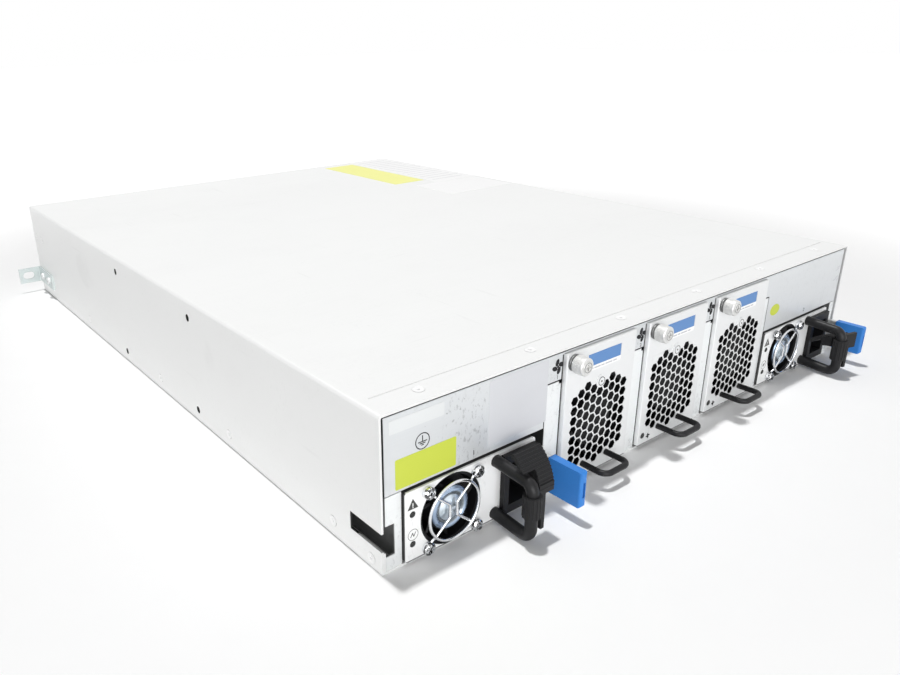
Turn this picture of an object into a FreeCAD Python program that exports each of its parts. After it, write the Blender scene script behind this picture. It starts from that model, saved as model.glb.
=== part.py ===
"""Two-unit rack ethernet switch, seen from its service side: cover, bays, power supplies and fan modules.

Millimetres, +Z up. The origin is the middle of the base's underside, the service side faces -Y
and the port side faces +Y.
"""
import FreeCAD, Part
import math
import os
import re

# Driving dimensions. "depth" in a name is measured inwards from the service edge.
SIZES = {
    # Chassis sheets
    "chassis_width": 440.0,
    "chassis_height": 86.0,
    "chassis_depth": 580.0,
    "cover_sheet": 1.2,
    "cover_bend": 2.0,
    "cover_lift": 0.6,
    "cover_fit": 0.2,
    "base_sheet": 1.2,
    "tray_inset": 0.4,
    "tray_flange": 12.0,
    "panel_sheet": 1.2,
    "panel_recess": 0.8,
    "panel_bend": 1.5,
    "panel_flange": 16.0,
    "panel_side_gap": 1.8,
    "panel_top_gap": 0.9,
    # Pressed line across the cover near the service edge
    "line_depth": 17.0,
    "line_width": 0.6,
    "line_sink": 0.35,
    "line_margin": 7.0,
    # Side holes for the rack rails
    "rail_hole_radius": 2.5,
    "rail_hole_depth": 205.5,
    "rail_hole_pitch": 132.8,
    "rail_hole_height": 8.6,
    "rail_hole_rise": 65.5,
    # Notch through each service corner
    "notch_length": 26.0,
    "notch_low": 13.5,
    "notch_high": 23.8,
    "corner_cut_low": 9.0,
    "corner_cut_high": 26.5,
    "corner_cut_width": 7.2,
    # Flush screws of the cover
    "screw_radius": 1.5,
    "screw_fit": 0.05,
    "screw_length": 5.0,
    "flush_head_radius": 3.0,
    "head_seam": 0.3,
    "flush_socket_radius": 0.9,
    "flush_socket_depth": 0.8,
    "side_screw_height": 9.0,
    "side_screw_first": 42.3,
    "side_screw_second": 160.5,
    "side_screw_third": 270.2,
    "side_screw_fourth": 431.4,
    "corner_screw_depth": 8.9,
    "corner_screw_height": 5.6,
    "rear_screw_first": 553.3,
    "rear_screw_second": 572.0,
    "rear_screw_height": 56.4,
    "top_screw_depth": 10.5,
    "top_screw_pitch": 75.5,
    # Rack ears at the port end
    "ear_sheet": 1.6,
    "ear_bend": 2.5,
    "ear_low": 10.0,
    "ear_height": 15.0,
    "ear_flange": 44.0,
    "ear_screw_first": 14.0,
    "ear_screw_pitch": 20.0,
    "rack_width": 482.6,
    "rack_slot_span": 465.1,
    "rack_slot_length": 10.5,
    "rack_slot_radius": 3.5,
    "pan_head_radius": 3.4,
    "pan_head_height": 2.2,
    "pan_crown": 0.9,
    "cross_width": 1.1,
    "cross_span": 3.6,
    "cross_depth": 1.2,
    # Bays
    "slide_gap": 0.3,
    "bay_sheet": 1.0,
    "psu_bay_start": -207.0,
    "psu_bay_pitch": 320.5,
    "psu_bay_width": 97.0,
    "psu_bay_depth": 198.0,
    "psu_shadow_gap": 1.3,
    "bay_seam": 0.4,
    "post_seam": 0.9,
    "fan_middle": 3.5,
    "fan_pitch": 71.5,
    "fan_bay_width": 60.8,
    "fan_bay_depth": 62.0,
    "post_height": 67.4,
    "post_notch": 1.6,
    "post_notch_depth": 3.0,
    "fan_window_top": 82.5,
    "lug_height": 12.0,
    "lug_reach": 15.0,
    "lug_sheet": 2.0,
    "lug_depth": 2.4,
    # Power supply
    "case_width": 88.4,
    "case_height": 39.8,
    "case_length": 197.0,
    "case_proud": 1.0,
    "case_sheet": 1.0,
    "case_front": 1.2,
    "case_round": 1.5,
    "psu_fan_place": 29.7,
    "psu_fan_window": 19.8,
    "psu_fan_frame": 37.6,
    "psu_fan_depth": 28.0,
    "psu_fan_bore": 18.0,
    "psu_fan_hub": 12.5,
    "psu_fan_chord": 25.5,
    "psu_stator_hub": 9.0,
    "psu_fan_tip_gap": 0.7,
    "guard_screw_pitch": 32.0,
    "guard_wire": 0.8,
    "guard_ring": 16.2,
    "guard_rise": 0.8,
    "guard_ring_lap": 1.1,
    "guard_waist": 2.4,
    "guard_waist_rise": 3.8,
    "guard_eye": 2.5,
    "light_place": 5.0,
    "light_low": 11.0,
    "light_high": 28.0,
    "light_radius": 1.8,
    "inlet_place": 63.6,
    "inlet_width": 24.4,
    "inlet_height": 35.0,
    "inlet_proud": 3.0,
    "inlet_rim": 1.3,
    "inlet_mouth_width": 17.0,
    "inlet_mouth_height": 25.0,
    "inlet_mouth_depth": 17.0,
    "inlet_floor": 2.0,
    "pin_wide": 4.0,
    "pin_thick": 2.0,
    "pin_length": 9.5,
    "pin_spread": 7.0,
    "pin_offset": 3.6,
    "handle_place": 59.8,
    "handle_radius": 3.3,
    "handle_low": 5.9,
    "handle_high": 37.2,
    "handle_reach": 26.0,
    "handle_bend": 5.5,
    "handle_collar": 2.0,
    "handle_droop": 1.9,
    "sleeve_low_left": 17.4,
    "sleeve_low_right": 14.4,
    "sleeve_high": 29.4,
    "sleeve_wall": 1.3,
    "sleeve_gap": 0.08,
    "sleeve_rib": 0.35,
    "hood_radius": 26.6,
    "hood_sheet": 2.2,
    "hood_axis_height": 27.5,
    "hood_start": 4.0,
    "hood_finish": 55.0,
    "hood_left": 4.0,
    "hood_right": 14.8,
    "hood_clear": 1.0,
    "hood_root_rise": 5.5,
    "hood_root_drop_left": 0.0,
    "hood_root_drop_right": 5.5,
    "hood_rib": 0.4,
    "cheek_sheet": 1.8,
    "cheek_depth": 7.0,
    "cheek_finish": 34.0,
    "tail_low": 7.0,
    "tail_thick": 2.4,
    "tail_place": 6.6,
    "clip_turn_left": 0.0,
    "clip_turn_right": -15.0,
    "hood_swing_left": 0.0,
    "hood_swing_right": 80.0,
    "latch_place": 91.6,
    "latch_thick": 5.0,
    "latch_low": 10.0,
    "latch_high": 31.0,
    "latch_reach_left": 30.7,
    "latch_reach_right": 28.4,
    "latch_bare": 8.0,
    "latch_round": 1.8,
    "latch_strip": 0.8,
    "latch_root": 60.0,
    "latch_slot": 9.0,
    "board_sheet": 1.6,
    "psu_board_height": 9.0,
    "psu_tail_start": 30.0,
    "psu_tail_width": 36.0,
    "psu_tail_length": 8.0,
    "psu_pad_inset": 8.0,
    "choke_place": 12.0,
    "choke_start": 18.0,
    "choke_width": 20.0,
    "choke_length": 28.0,
    "choke_height": 15.0,
    "transformer_place": 42.0,
    "transformer_start": 62.0,
    "transformer_width": 30.0,
    "transformer_length": 34.0,
    "transformer_height": 21.0,
    "psu_sink_place": 8.0,
    "psu_sink_start": 62.0,
    "psu_sink_width": 12.0,
    "psu_sink_length": 80.0,
    "psu_sink_height": 24.0,
    # Fan modules
    "tray_sheet": 0.6,
    "fan_proud": 2.0,
    "fan_plate_gap": 0.8,
    "fan_plate_low": 2.2,
    "fan_plate_high": 82.9,
    "fan_return": 2.8,
    "fan_plate_round": 0.9,
    "vent_pitch": 6.08,
    "vent_flats": 5.2,
    "vent_low": 10.4,
    "fan_frame": 60.0,
    "fan_frame_depth": 38.0,
    "fan_height": 33.5,
    "fan_bore": 28.4,
    "fan_hub": 15.0,
    "fan_chord": 36.4,
    "fan_stator_hub": 12.0,
    "blade_pitch": 38.0,
    "blade_sheet": 1.2,
    "fan_tip_gap": 0.9,
    "rotor_shaft": 1.5,
    "rotor_fit": 0.05,
    "stator_arm": 4.0,
    "stator_depth": 4.0,
    "stator_lap": 0.6,
    "stud_radius": 2.7,
    "stud_flange": 3.9,
    "stud_dimple": 0.45,
    "stud_height": 59.4,
    "stud_rise": 0.8,
    "fan_light_place": 25.2,
    "fan_light_height": 8.4,
    "fan_light_radius": 2.0,
    "fan_handle_radius": 1.8,
    "fan_handle_reach": 17.0,
    "fan_handle_bend": 5.0,
    "thumb_place": 24.2,
    "thumb_height": 77.2,
    "thumb_radius": 5.1,
    "thumb_length": 9.6,
    "thumb_cap_radius": 3.3,
    "thumb_cap_rise": 0.5,
    "thumb_neck": 2.0,
    "thumb_neck_radius": 3.6,
    "thumb_shank": 7.0,
    "thumb_round": 0.8,
    "fan_plug_length": 14.0,
    "fan_plug_width": 20.0,
    "fan_plug_height": 10.0,
    # Boards and the port side
    "fan_board_height": 80.0,
    "fan_board_hole": 24.0,
    "fan_socket_height": 6.0,
    "main_board_lift": 9.0,
    "main_board_width": 410.0,
    "main_board_start": 205.0,
    "main_board_end": 576.0,
    "socket_height": 12.0,
    "socket_length": 9.0,
    "standoff_radius": 3.0,
    "standoff_spread": 184.0,
    "standoff_first": 37.0,
    "standoff_pitch": 98.0,
    "sink_base": 5.0,
    "sink_height": 42.0,
    "sink_width": 92.0,
    "sink_length": 96.0,
    "sink_fin": 1.6,
    "sink_depth": 330.0,
    "sink_spread": 118.0,
    "port_width": 18.8,
    "port_height": 9.2,
    "port_wall": 1.0,
    "port_length": 68.0,
    "port_hollow": 60.0,
    "port_group_left": -150.0,
    "port_group_right": -52.0,
    "jack_place": 60.0,
    "jack_width": 12.0,
    "jack_height": 9.0,
    "jack_wall": 2.0,
    "jack_length": 20.0,
    "jack_hollow": 14.0,
    "port_vent_pitch": 9.0,
    "port_vent_flats": 7.4,
    "port_vent_low": 46.0,
    "port_vent_reach": 200.0,
    "port_light_radius": 1.0,
    "port_light_rise": 3.0,
}

PORT_ROWS = 2
PORT_COLUMNS = 4
PORT_VENT_ROWS = 4
JACK_COUNT = 2
PSU_BLADES = 7
FAN_BLADES = 7
SLEEVE_RIBS = 14
HOOD_RIBS = 12
SINK_FINS = 16
# First and last hole of each column of a fan plate, by the column's distance from the middle
VENT_ROWS = {0: (0, 7), 1: (0, 7), 2: (1, 8), 3: (0, 7), 4: (1, 7)}
HANDLE_COLUMN = 2

doc = FreeCAD.newDocument("ethernet_switch")
sheet = doc.addObject("Spreadsheet::Sheet", "Sizes")
for row, (alias, number) in enumerate(SIZES.items(), start=1):
    sheet.set(f"A{row}", alias)
    sheet.set(f"B{row}", str(number))
    sheet.setAlias(f"B{row}", alias)
doc.recompute()

WORD = re.compile(r"[a-z][a-z_]*")
nodes = []


def bound(formula):
    """A formula over size names, written as an expression on the sheet."""
    def named(word):
        alias = word.group()
        return f"Sizes.{alias}" if alias in SIZES else alias

    return WORD.sub(named, formula)


def size(alias):
    """The number that the sheet holds for a size."""
    return float(sheet.get(alias))


# Planes and edges that several pieces share, as formulas over the sizes
FACE = "(-chassis_depth / 2)"
PORT_END = "(chassis_depth / 2)"
SKIN = f"({FACE} + panel_recess)"
SKIN_BACK = f"({FACE} + panel_recess + panel_sheet)"
COVER_INSIDE = "(chassis_width / 2 - cover_sheet)"
COVER_ROOF = "(chassis_height - cover_sheet)"
TRAY_SIDE = f"({COVER_INSIDE} - cover_fit)"
PANEL_SIDE = f"({COVER_INSIDE} - panel_side_gap)"
PANEL_TOP = f"({COVER_ROOF} - panel_top_gap)"
BAY_SIDE = f"({TRAY_SIDE} - base_sheet - bay_seam)"
CASE_LOW = "(base_sheet + slide_gap)"
CASE_TOP = f"({CASE_LOW} + case_height)"
CASE_FACE = f"({FACE} - case_proud)"
CASE_INSIDE = f"({CASE_FACE} + case_front)"
ROOF_LOW = f"({CASE_TOP} + psu_shadow_gap)"
PSU_MIDDLE = f"({CASE_LOW} + case_height / 2)"
FAN_FACE = f"({FACE} - fan_proud)"
FAN_BACK = f"({FAN_FACE} + tray_sheet)"
FAN_FRAME_START = f"({FAN_FACE} + fan_return)"
BOARD_TOP = "(base_sheet + main_board_lift + board_sheet)"
PSU_BAYS = {"left": "psu_bay_start", "right": "(psu_bay_start + psu_bay_pitch)"}
FANS = (1, 2, 3)


def fan_centre(number):
    """X of a fan module's middle."""
    return f"(fan_middle + {number - 2} * fan_pitch)"


def fan_edges(number):
    """X of the two sides of a fan bay."""
    middle = fan_centre(number)
    return f"({middle} - fan_bay_width / 2)", f"({middle} + fan_bay_width / 2)"


def mirrored(side, low, high):
    """A pair of X bounds, on the right for side 1 and on the left for side -1."""
    return (low, high) if side > 0 else (f"-({high})", f"-({low})")


# Building helpers: every length and place is an expression on the sheet
UP = FreeCAD.Vector(0, 0, 1)
AIMS = {
    "x": FreeCAD.Vector(1, 0, 0),
    "-x": FreeCAD.Vector(-1, 0, 0),
    "y": FreeCAD.Vector(0, 1, 0),
    "-y": FreeCAD.Vector(0, -1, 0),
    "z": UP,
    "-z": FreeCAD.Vector(0, 0, -1),
}


def place(piece, spot):
    """Binds a piece's base point to three formulas."""
    for axis, formula in zip("xyz", spot):
        piece.setExpression(f"Placement.Base.{axis}", bound(formula))
    return piece


def box(name, x, y, z):
    """A block between pairs of formulas."""
    piece = doc.addObject("Part::Box", name)
    for length, (low, high) in zip(("Length", "Width", "Height"), (x, y, z)):
        piece.setExpression(length, bound(f"({high}) - ({low})"))
    return place(piece, (x[0], y[0], z[0]))


def rod(name, aim, spot, radius, length):
    """A round bar from a spot along an aim."""
    piece = doc.addObject("Part::Cylinder", name)
    piece.Placement = FreeCAD.Placement(FreeCAD.Vector(), FreeCAD.Rotation(UP, AIMS[aim]))
    piece.setExpression("Radius", bound(radius))
    piece.setExpression("Height", bound(length))
    return place(piece, spot)


def cone(name, aim, spot, first, last, length):
    """A cone from a spot along an aim."""
    piece = doc.addObject("Part::Cone", name)
    piece.Placement = FreeCAD.Placement(FreeCAD.Vector(), FreeCAD.Rotation(UP, AIMS[aim]))
    piece.setExpression("Radius1", bound(first))
    piece.setExpression("Radius2", bound(last))
    piece.setExpression("Height", bound(length))
    return place(piece, spot)


def bend(name, spot, sideways, radius, wire):
    """A quarter turn of round bar, from -Y of its centre towards a sideways direction."""
    piece = doc.addObject("Part::Torus", name)
    outwards = AIMS["-y"]
    turn = FreeCAD.Rotation(outwards, sideways, outwards.cross(sideways), "ZXY")
    piece.Placement = FreeCAD.Placement(FreeCAD.Vector(), turn)
    piece.setExpression("Radius1", bound(radius))
    piece.setExpression("Radius2", bound(wire))
    piece.Angle3 = 90
    return place(piece, spot)


def join(name, pieces):
    """One solid from pieces that touch."""
    piece = doc.addObject("Part::MultiFuse", name)
    piece.Shapes = pieces
    piece.Refine = True
    return piece


def group(name, pieces):
    """Separate solids kept together."""
    piece = doc.addObject("Part::Compound", name)
    piece.Links = pieces
    return piece


def cut(name, base, tools):
    """A piece with other shapes taken away, which must make it smaller."""
    piece = doc.addObject("Part::Cut", name)
    piece.Base = base
    piece.Tool = tools[0] if len(tools) == 1 else join(f"{name}_tools", tools)
    piece.Refine = True
    doc.recompute()
    if not piece.Shape.Volume < base.Shape.Volume:
        raise RuntimeError(f"{name} cuts nothing")
    return piece


def rounded(name, base, radius, wanted):
    """A piece with its wanted edges rounded."""
    doc.recompute()
    picked = []
    for number, edge in enumerate(base.Shape.Edges, start=1):
        if wanted(edge.BoundBox):
            picked.append((number, radius, radius))
    if not picked:
        raise RuntimeError(f"{name} rounds nothing")
    piece = doc.addObject("Part::Fillet", name)
    piece.Base = base
    piece.Edges = picked
    return piece


def solid(name, shape):
    """A piece whose shape is worked out from the sheet's numbers."""
    piece = doc.addObject("Part::Feature", name)
    piece.Shape = shape
    return piece


def plate(name, outline, distance, thickness):
    """A flat plate parallel to the service side, padded outwards from an outline and its holes."""
    body = doc.addObject("PartDesign::Body", f"{name}_body")
    sketch = body.newObject("Sketcher::SketchObject", f"{name}_sketch")
    origin = body.Origin.OriginFeatures
    sketch.AttachmentSupport = [(next(item for item in origin if item.Role == "XZ_Plane"), "")]
    sketch.MapMode = "FlatFace"
    sketch.setExpression("AttachmentOffset.Base.z", bound(distance))
    for wire in outline:
        sketch.addGeometry(wire, False)
    pad = body.newObject("PartDesign::Pad", f"{name}_pad")
    pad.Profile = sketch
    pad.setExpression("Length", bound(thickness))
    body.Tip = pad
    doc.recompute()
    return body


def polygon(points):
    """The sides of a closed outline."""
    corners = [FreeCAD.Vector(x, y, 0) for x, y in points]
    return [Part.LineSegment(a, b) for a, b in zip(corners, corners[1:] + corners[:1])]


def rectangle(x, z):
    """The sides of a rectangle between pairs of numbers."""
    return polygon([(x[0], z[0]), (x[1], z[0]), (x[1], z[1]), (x[0], z[1])])


def hexagon(x, z, flats):
    """The sides of a hexagon with level flats above and below."""
    radius = flats / math.sqrt(3)
    return polygon([(x + radius * math.cos(math.pi * turn / 3), z + radius * math.sin(math.pi * turn / 3))
                    for turn in range(6)])


def circle(x, z, radius):
    """A round hole's outline."""
    return [Part.Circle(FreeCAD.Vector(x, z, 0), UP, radius)]


def node(label, piece):
    """Names a finished sub-part."""
    piece.Label = label
    nodes.append(piece)
    return piece


# Screws
def flush_screw(name, aim, spot):
    """A flush screw whose head fills the cover's sheet."""
    head = cone(f"{name}_head", aim, spot, "flush_head_radius", "screw_radius", "cover_sheet")
    shank = rod(f"{name}_shank", aim, spot, "screw_radius", "screw_length")
    socket = rod(f"{name}_socket", aim, spot, "flush_socket_radius", "flush_socket_depth")
    return cut(name, join(f"{name}_blank", [head, shank]), [socket])


def flush_seat(name, aim, spot):
    """The countersunk hole for a flush screw."""
    sink = cone(f"{name}_sink", aim, spot, "flush_head_radius + head_seam", "screw_radius + screw_fit",
                "cover_sheet")
    bore = rod(f"{name}_bore", aim, spot, "screw_radius + screw_fit", "screw_length + cover_sheet")
    return join(name, [sink, bore])


def cross_recess(name, aim, spot):
    """Two crossing bars that cut a driver's cross into a head, for a head that faces -X, X or -Y."""
    x, y, z = spot
    half = ("cross_width / 2", "cross_span / 2")
    bars = []
    for number, (wide, tall) in enumerate((half, half[::-1])):
        span_z = (f"{z} - {wide}", f"{z} + {wide}")
        if aim == "y":
            span_x = (f"{x} - {tall}", f"{x} + {tall}")
            span_y = (y, f"{y} + cross_depth")
        else:
            span_y = (f"{y} - {tall}", f"{y} + {tall}")
            span_x = (x, f"{x} + cross_depth") if aim == "x" else (f"{x} - cross_depth", x)
        bars.append(box(f"{name}_bar_{number}", span_x, span_y, span_z))
    return join(name, bars)


def pan_screw(name, aim, spot, length):
    """A pan-head screw whose head stands on a spot and whose shank goes along the aim."""
    x, y, z = spot
    back = {"x": (f"{x} - pan_head_height", y, z), "-x": (f"{x} + pan_head_height", y, z),
            "y": (x, f"{y} - pan_head_height", z)}[aim]
    rim = {"x": (f"{back[0]} + pan_crown", y, z), "-x": (f"{back[0]} - pan_crown", y, z),
           "y": (x, f"{back[1]} + pan_crown", z)}[aim]
    crown = cone(f"{name}_crown", aim, back, "pan_head_radius - pan_crown", "pan_head_radius", "pan_crown")
    head = rod(f"{name}_head", aim, rim, "pan_head_radius", "pan_head_height - pan_crown")
    shank = rod(f"{name}_shank", aim, spot, "screw_radius", length)
    blank = join(f"{name}_blank", [crown, head, shank])
    return cut(name, blank, [cross_recess(f"{name}_cross", aim, back)])


def side_screw_spots():
    """Depth and height of each flush screw in one side of the cover."""
    spots = [("corner_screw_depth", "corner_screw_height")]
    for order in ("first", "second", "third", "fourth"):
        spots.append((f"side_screw_{order}", "side_screw_height"))
    return spots


def top_screw_spots():
    """X of each flush screw along the service edge."""
    return [f"{half} * top_screw_pitch" for half in (-2.5, -1.5, -0.5, 0.5, 1.5, 2.5)]


def cover_screw_places():
    """Name, aim and outer point of every flush screw of the cover."""
    places = []
    for side, aim, hand in ((-1, "x", "left"), (1, "-x", "right")):
        for number, (depth, height) in enumerate(side_screw_spots()):
            spot = (f"{side} * chassis_width / 2", f"{FACE} + {depth}", height)
            places.append((f"side_screw_{hand}_{number}", aim, spot))
        for order in ("first", "second"):
            spot = (f"{side} * chassis_width / 2", f"{FACE} + rear_screw_{order}", "rear_screw_height")
            places.append((f"rear_screw_{hand}_{order}", aim, spot))
    for number, x in enumerate(top_screw_spots()):
        places.append((f"top_screw_{number}", "-z", (x, f"{FACE} + top_screw_depth", "chassis_height")))
    return places


def ear_screw_places():
    """Name, aim and seat of every ear screw."""
    places = []
    for side, aim, hand in ((-1, "x", "left"), (1, "-x", "right")):
        for number in range(2):
            depth = f"{PORT_END} - ear_screw_first - {number} * ear_screw_pitch"
            spot = (f"{side} * (chassis_width / 2 + ear_sheet)", depth, "ear_low + ear_height / 2")
            places.append((f"ear_screw_{hand}_{number}", aim, spot))
    return places


# Chassis
def base_tray():
    """The floor with its two upright flanges."""
    y = (f"{FACE} + tray_inset", f"{PORT_END} - tray_inset")
    pieces = [box("tray_floor", (f"-{TRAY_SIDE}", TRAY_SIDE), y, ("0", "base_sheet"))]
    for side, hand in ((-1, "left"), (1, "right")):
        x = mirrored(side, f"{TRAY_SIDE} - base_sheet", TRAY_SIDE)
        pieces.append(box(f"tray_flange_{hand}", x, y, ("0", "tray_flange")))
    tapped = []
    for name, aim, spot in cover_screw_places():
        if name.startswith("side"):
            tapped.append(rod(f"tray_{name}", aim, spot, "screw_radius + screw_fit", "screw_length * 2"))
    node("base_tray", cut("tray", join("tray_blank", pieces), tapped))


def top_cover():
    """The folded cover: top and sides, with the rail holes, the notches and the pressed line."""
    y = (FACE, PORT_END)
    half = "chassis_width / 2"
    outer = box("cover_outer", (f"-{half}", half), y, ("cover_lift", "chassis_height"))
    inner = box("cover_inner", (f"-{COVER_INSIDE}", COVER_INSIDE), y, ("cover_lift", COVER_ROOF))
    shell = cut("cover_shell", outer, [inner])
    top = size("chassis_height")
    roof = top - size("cover_sheet")

    def outer_bend(bounds):
        return bounds.YLength > size("chassis_depth") / 2 and bounds.ZMin > top - 0.1

    def inner_bend(bounds):
        return bounds.YLength > size("chassis_depth") / 2 and abs(bounds.ZMax - roof) < 0.1

    bent = rounded("cover_bent", shell, size("cover_bend"), outer_bend)
    bent = rounded("cover_bent_inside", bent, size("cover_bend") - size("cover_sheet"), inner_bend)
    line = box("cover_line", (f"-{half} + line_margin", f"{half} - line_margin"),
               (f"{FACE} + line_depth", f"{FACE} + line_depth + line_width"),
               ("chassis_height - line_sink", "chassis_height"))
    tools = [line]
    for side, aim, hand in ((-1, "x", "left"), (1, "-x", "right")):
        x = mirrored(side, f"{COVER_INSIDE} - cover_sheet", half)
        tools.append(box(f"cover_notch_{hand}", x, (FACE, f"{FACE} + notch_length"),
                         ("notch_low", "notch_high")))
        for column in range(2):
            for rise in range(2):
                spot = (f"{side} * {half}", f"{FACE} + rail_hole_depth + {column} * rail_hole_pitch",
                        f"rail_hole_height + {rise} * rail_hole_rise")
                tools.append(rod(f"rail_hole_{hand}_{column}{rise}", aim, spot, "rail_hole_radius",
                                 "cover_sheet * 2"))
    for name, aim, spot in cover_screw_places():
        tools.append(flush_seat(f"cover_{name}", aim, spot))
    for name, aim, spot in ear_screw_places():
        tools.append(rod(f"cover_{name}", aim, spot, "screw_radius + screw_fit", "screw_length * 2"))
    node("top_cover", cut("cover", bent, tools))


def service_panel():
    """The recessed sheet above and between the bays, bent inwards under the cover."""
    x = (f"-{PANEL_SIDE}", PANEL_SIDE)
    face = box("panel_face", x, (SKIN, SKIN_BACK), (ROOF_LOW, PANEL_TOP))
    flange = box("panel_flange", x, (SKIN, f"{SKIN} + panel_flange"),
                 (f"{PANEL_TOP} - panel_sheet", PANEL_TOP))
    blank = join("panel_blank", [face, flange])
    top = size("chassis_height") - size("cover_sheet") - size("panel_top_gap")
    skin = -size("chassis_depth") / 2 + size("panel_recess")

    def top_bend(bounds):
        long = bounds.XLength > size("chassis_width") / 2
        return long and bounds.ZMin > top - 0.1 and bounds.YMax < skin + 0.1

    bent = rounded("panel_bent", blank, size("panel_bend"), top_bend)
    through = (f"{SKIN} - panel_sheet", f"{SKIN_BACK} + panel_sheet")
    tools = [box("panel_post_window", (post_edges(1)[0] + " - post_seam", post_edges(4)[1] + " + post_seam"),
                 through, (f"{ROOF_LOW} - panel_sheet", "post_height + post_seam"))]
    for number in FANS:
        tools.append(box(f"panel_fan_window_{number}", fan_edges(number), through,
                         (f"{ROOF_LOW} - panel_sheet", "fan_window_top")))
    for number, x in enumerate(top_screw_spots()):
        spot = (x, f"{FACE} + top_screw_depth", "chassis_height")
        tools.append(rod(f"panel_screw_{number}", "-z", spot, "screw_radius + screw_fit",
                         "screw_length * 2"))
    node("service_panel", cut("panel", bent, tools))


def post_edges(number):
    """X of the two sides of a bay post, counted from the left."""
    first = f"({PSU_BAYS['left']} + psu_bay_width + bay_seam)"
    last = f"({PSU_BAYS['right']} - bay_seam)"
    left = first if number == 1 else fan_edges(number - 1)[1]
    right = last if number == 4 else fan_edges(number)[0]
    return left, right


def bay_post(number):
    """A channel between two bays, with a screw lug beside each fan bay that it starts."""
    left, right = post_edges(number)
    short = f"{FACE} + fan_bay_depth"
    long = f"{FACE} + psu_bay_depth"
    floor = "base_sheet"
    name = f"post_{number}"
    tall = f"({PANEL_TOP} - panel_sheet - bay_seam)"
    pieces = [box(f"{name}_web", (left, right), (SKIN, SKIN_BACK), (floor, "post_height"))]
    left_leg = (left, f"{left} + bay_sheet")
    right_leg = (f"{right} - bay_sheet", right)
    left_end, left_top = (long, ROOF_LOW) if number == 1 else (short, "post_height")
    right_end, right_top = (long, ROOF_LOW) if number == 4 else (short, "post_height")
    pieces.append(box(f"{name}_left_leg", left_leg, (SKIN, left_end), (floor, left_top)))
    pieces.append(box(f"{name}_right_leg", right_leg, (SKIN, right_end), (floor, right_top)))
    if number < 4:
        lug_y = (f"{FACE} + lug_depth", f"{FACE} + lug_depth + lug_sheet")
        lug_z = (f"{tall} - lug_height", tall)
        riser_z = ("post_height - bay_sheet", tall)
        pieces.append(box(f"{name}_riser", right_leg, (lug_y[0], short), riser_z))
        pieces.append(box(f"{name}_lug", (right_leg[0], f"{right} + lug_reach"), lug_y, lug_z))
    blank = join(f"{name}_blank", pieces)
    if number < 4:
        spot = (f"{fan_centre(number)} - thumb_place", FACE, "thumb_height")
        tapped = rod(f"{name}_tapped", "y", spot, "screw_radius + screw_fit", "fan_bay_depth / 2")
        notch = box(f"{name}_notch", (f"{right} - post_notch", right), (SKIN, f"{SKIN} + post_notch_depth"),
                    ("post_height - post_notch", "post_height"))
        blank = cut(f"{name}_drilled", blank, [tapped, notch])
    node(f"bay_post_{number}", blank)


def power_bay(hand):
    """The sheet round a power bay: notched service flange, outer wall and roof."""
    start = PSU_BAYS[hand]
    end = f"({start} + psu_bay_width)"
    deep = (SKIN, f"{FACE} + psu_bay_depth")
    name = f"power_bay_{hand}"
    if hand == "left":
        wall = (f"{start} - bay_seam - bay_sheet", f"{start} - bay_seam")
        flange = (f"-{BAY_SIDE}", wall[1])
        roof = (wall[0], post_edges(1)[0] + " + bay_sheet")
        notch = (f"-{COVER_INSIDE}", f"-{COVER_INSIDE} + corner_cut_width")
    else:
        wall = (f"{end} + bay_seam", f"{end} + bay_seam + bay_sheet")
        flange = (wall[0], BAY_SIDE)
        roof = (post_edges(4)[1] + " - bay_sheet", wall[1])
        notch = (f"{COVER_INSIDE} - corner_cut_width / 2", COVER_INSIDE)
    pieces = [
        box(f"{name}_flange", flange, (SKIN, SKIN_BACK), ("base_sheet", f"{ROOF_LOW} - bay_seam")),
        box(f"{name}_wall", wall, deep, ("base_sheet", f"{ROOF_LOW} - bay_seam")),
        box(f"{name}_wall_top", wall, (SKIN_BACK, deep[1]), ("base_sheet", f"{ROOF_LOW} + bay_sheet")),
        box(f"{name}_roof", roof, (SKIN_BACK, deep[1]), (ROOF_LOW, f"{ROOF_LOW} + bay_sheet")),
    ]
    slot = box(f"{name}_notch", notch, (FACE, f"{SKIN_BACK} + bay_sheet"),
               ("corner_cut_low", "corner_cut_high"))
    node(name, cut(f"{name}_cut", join(f"{name}_blank", pieces), [slot]))


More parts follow.
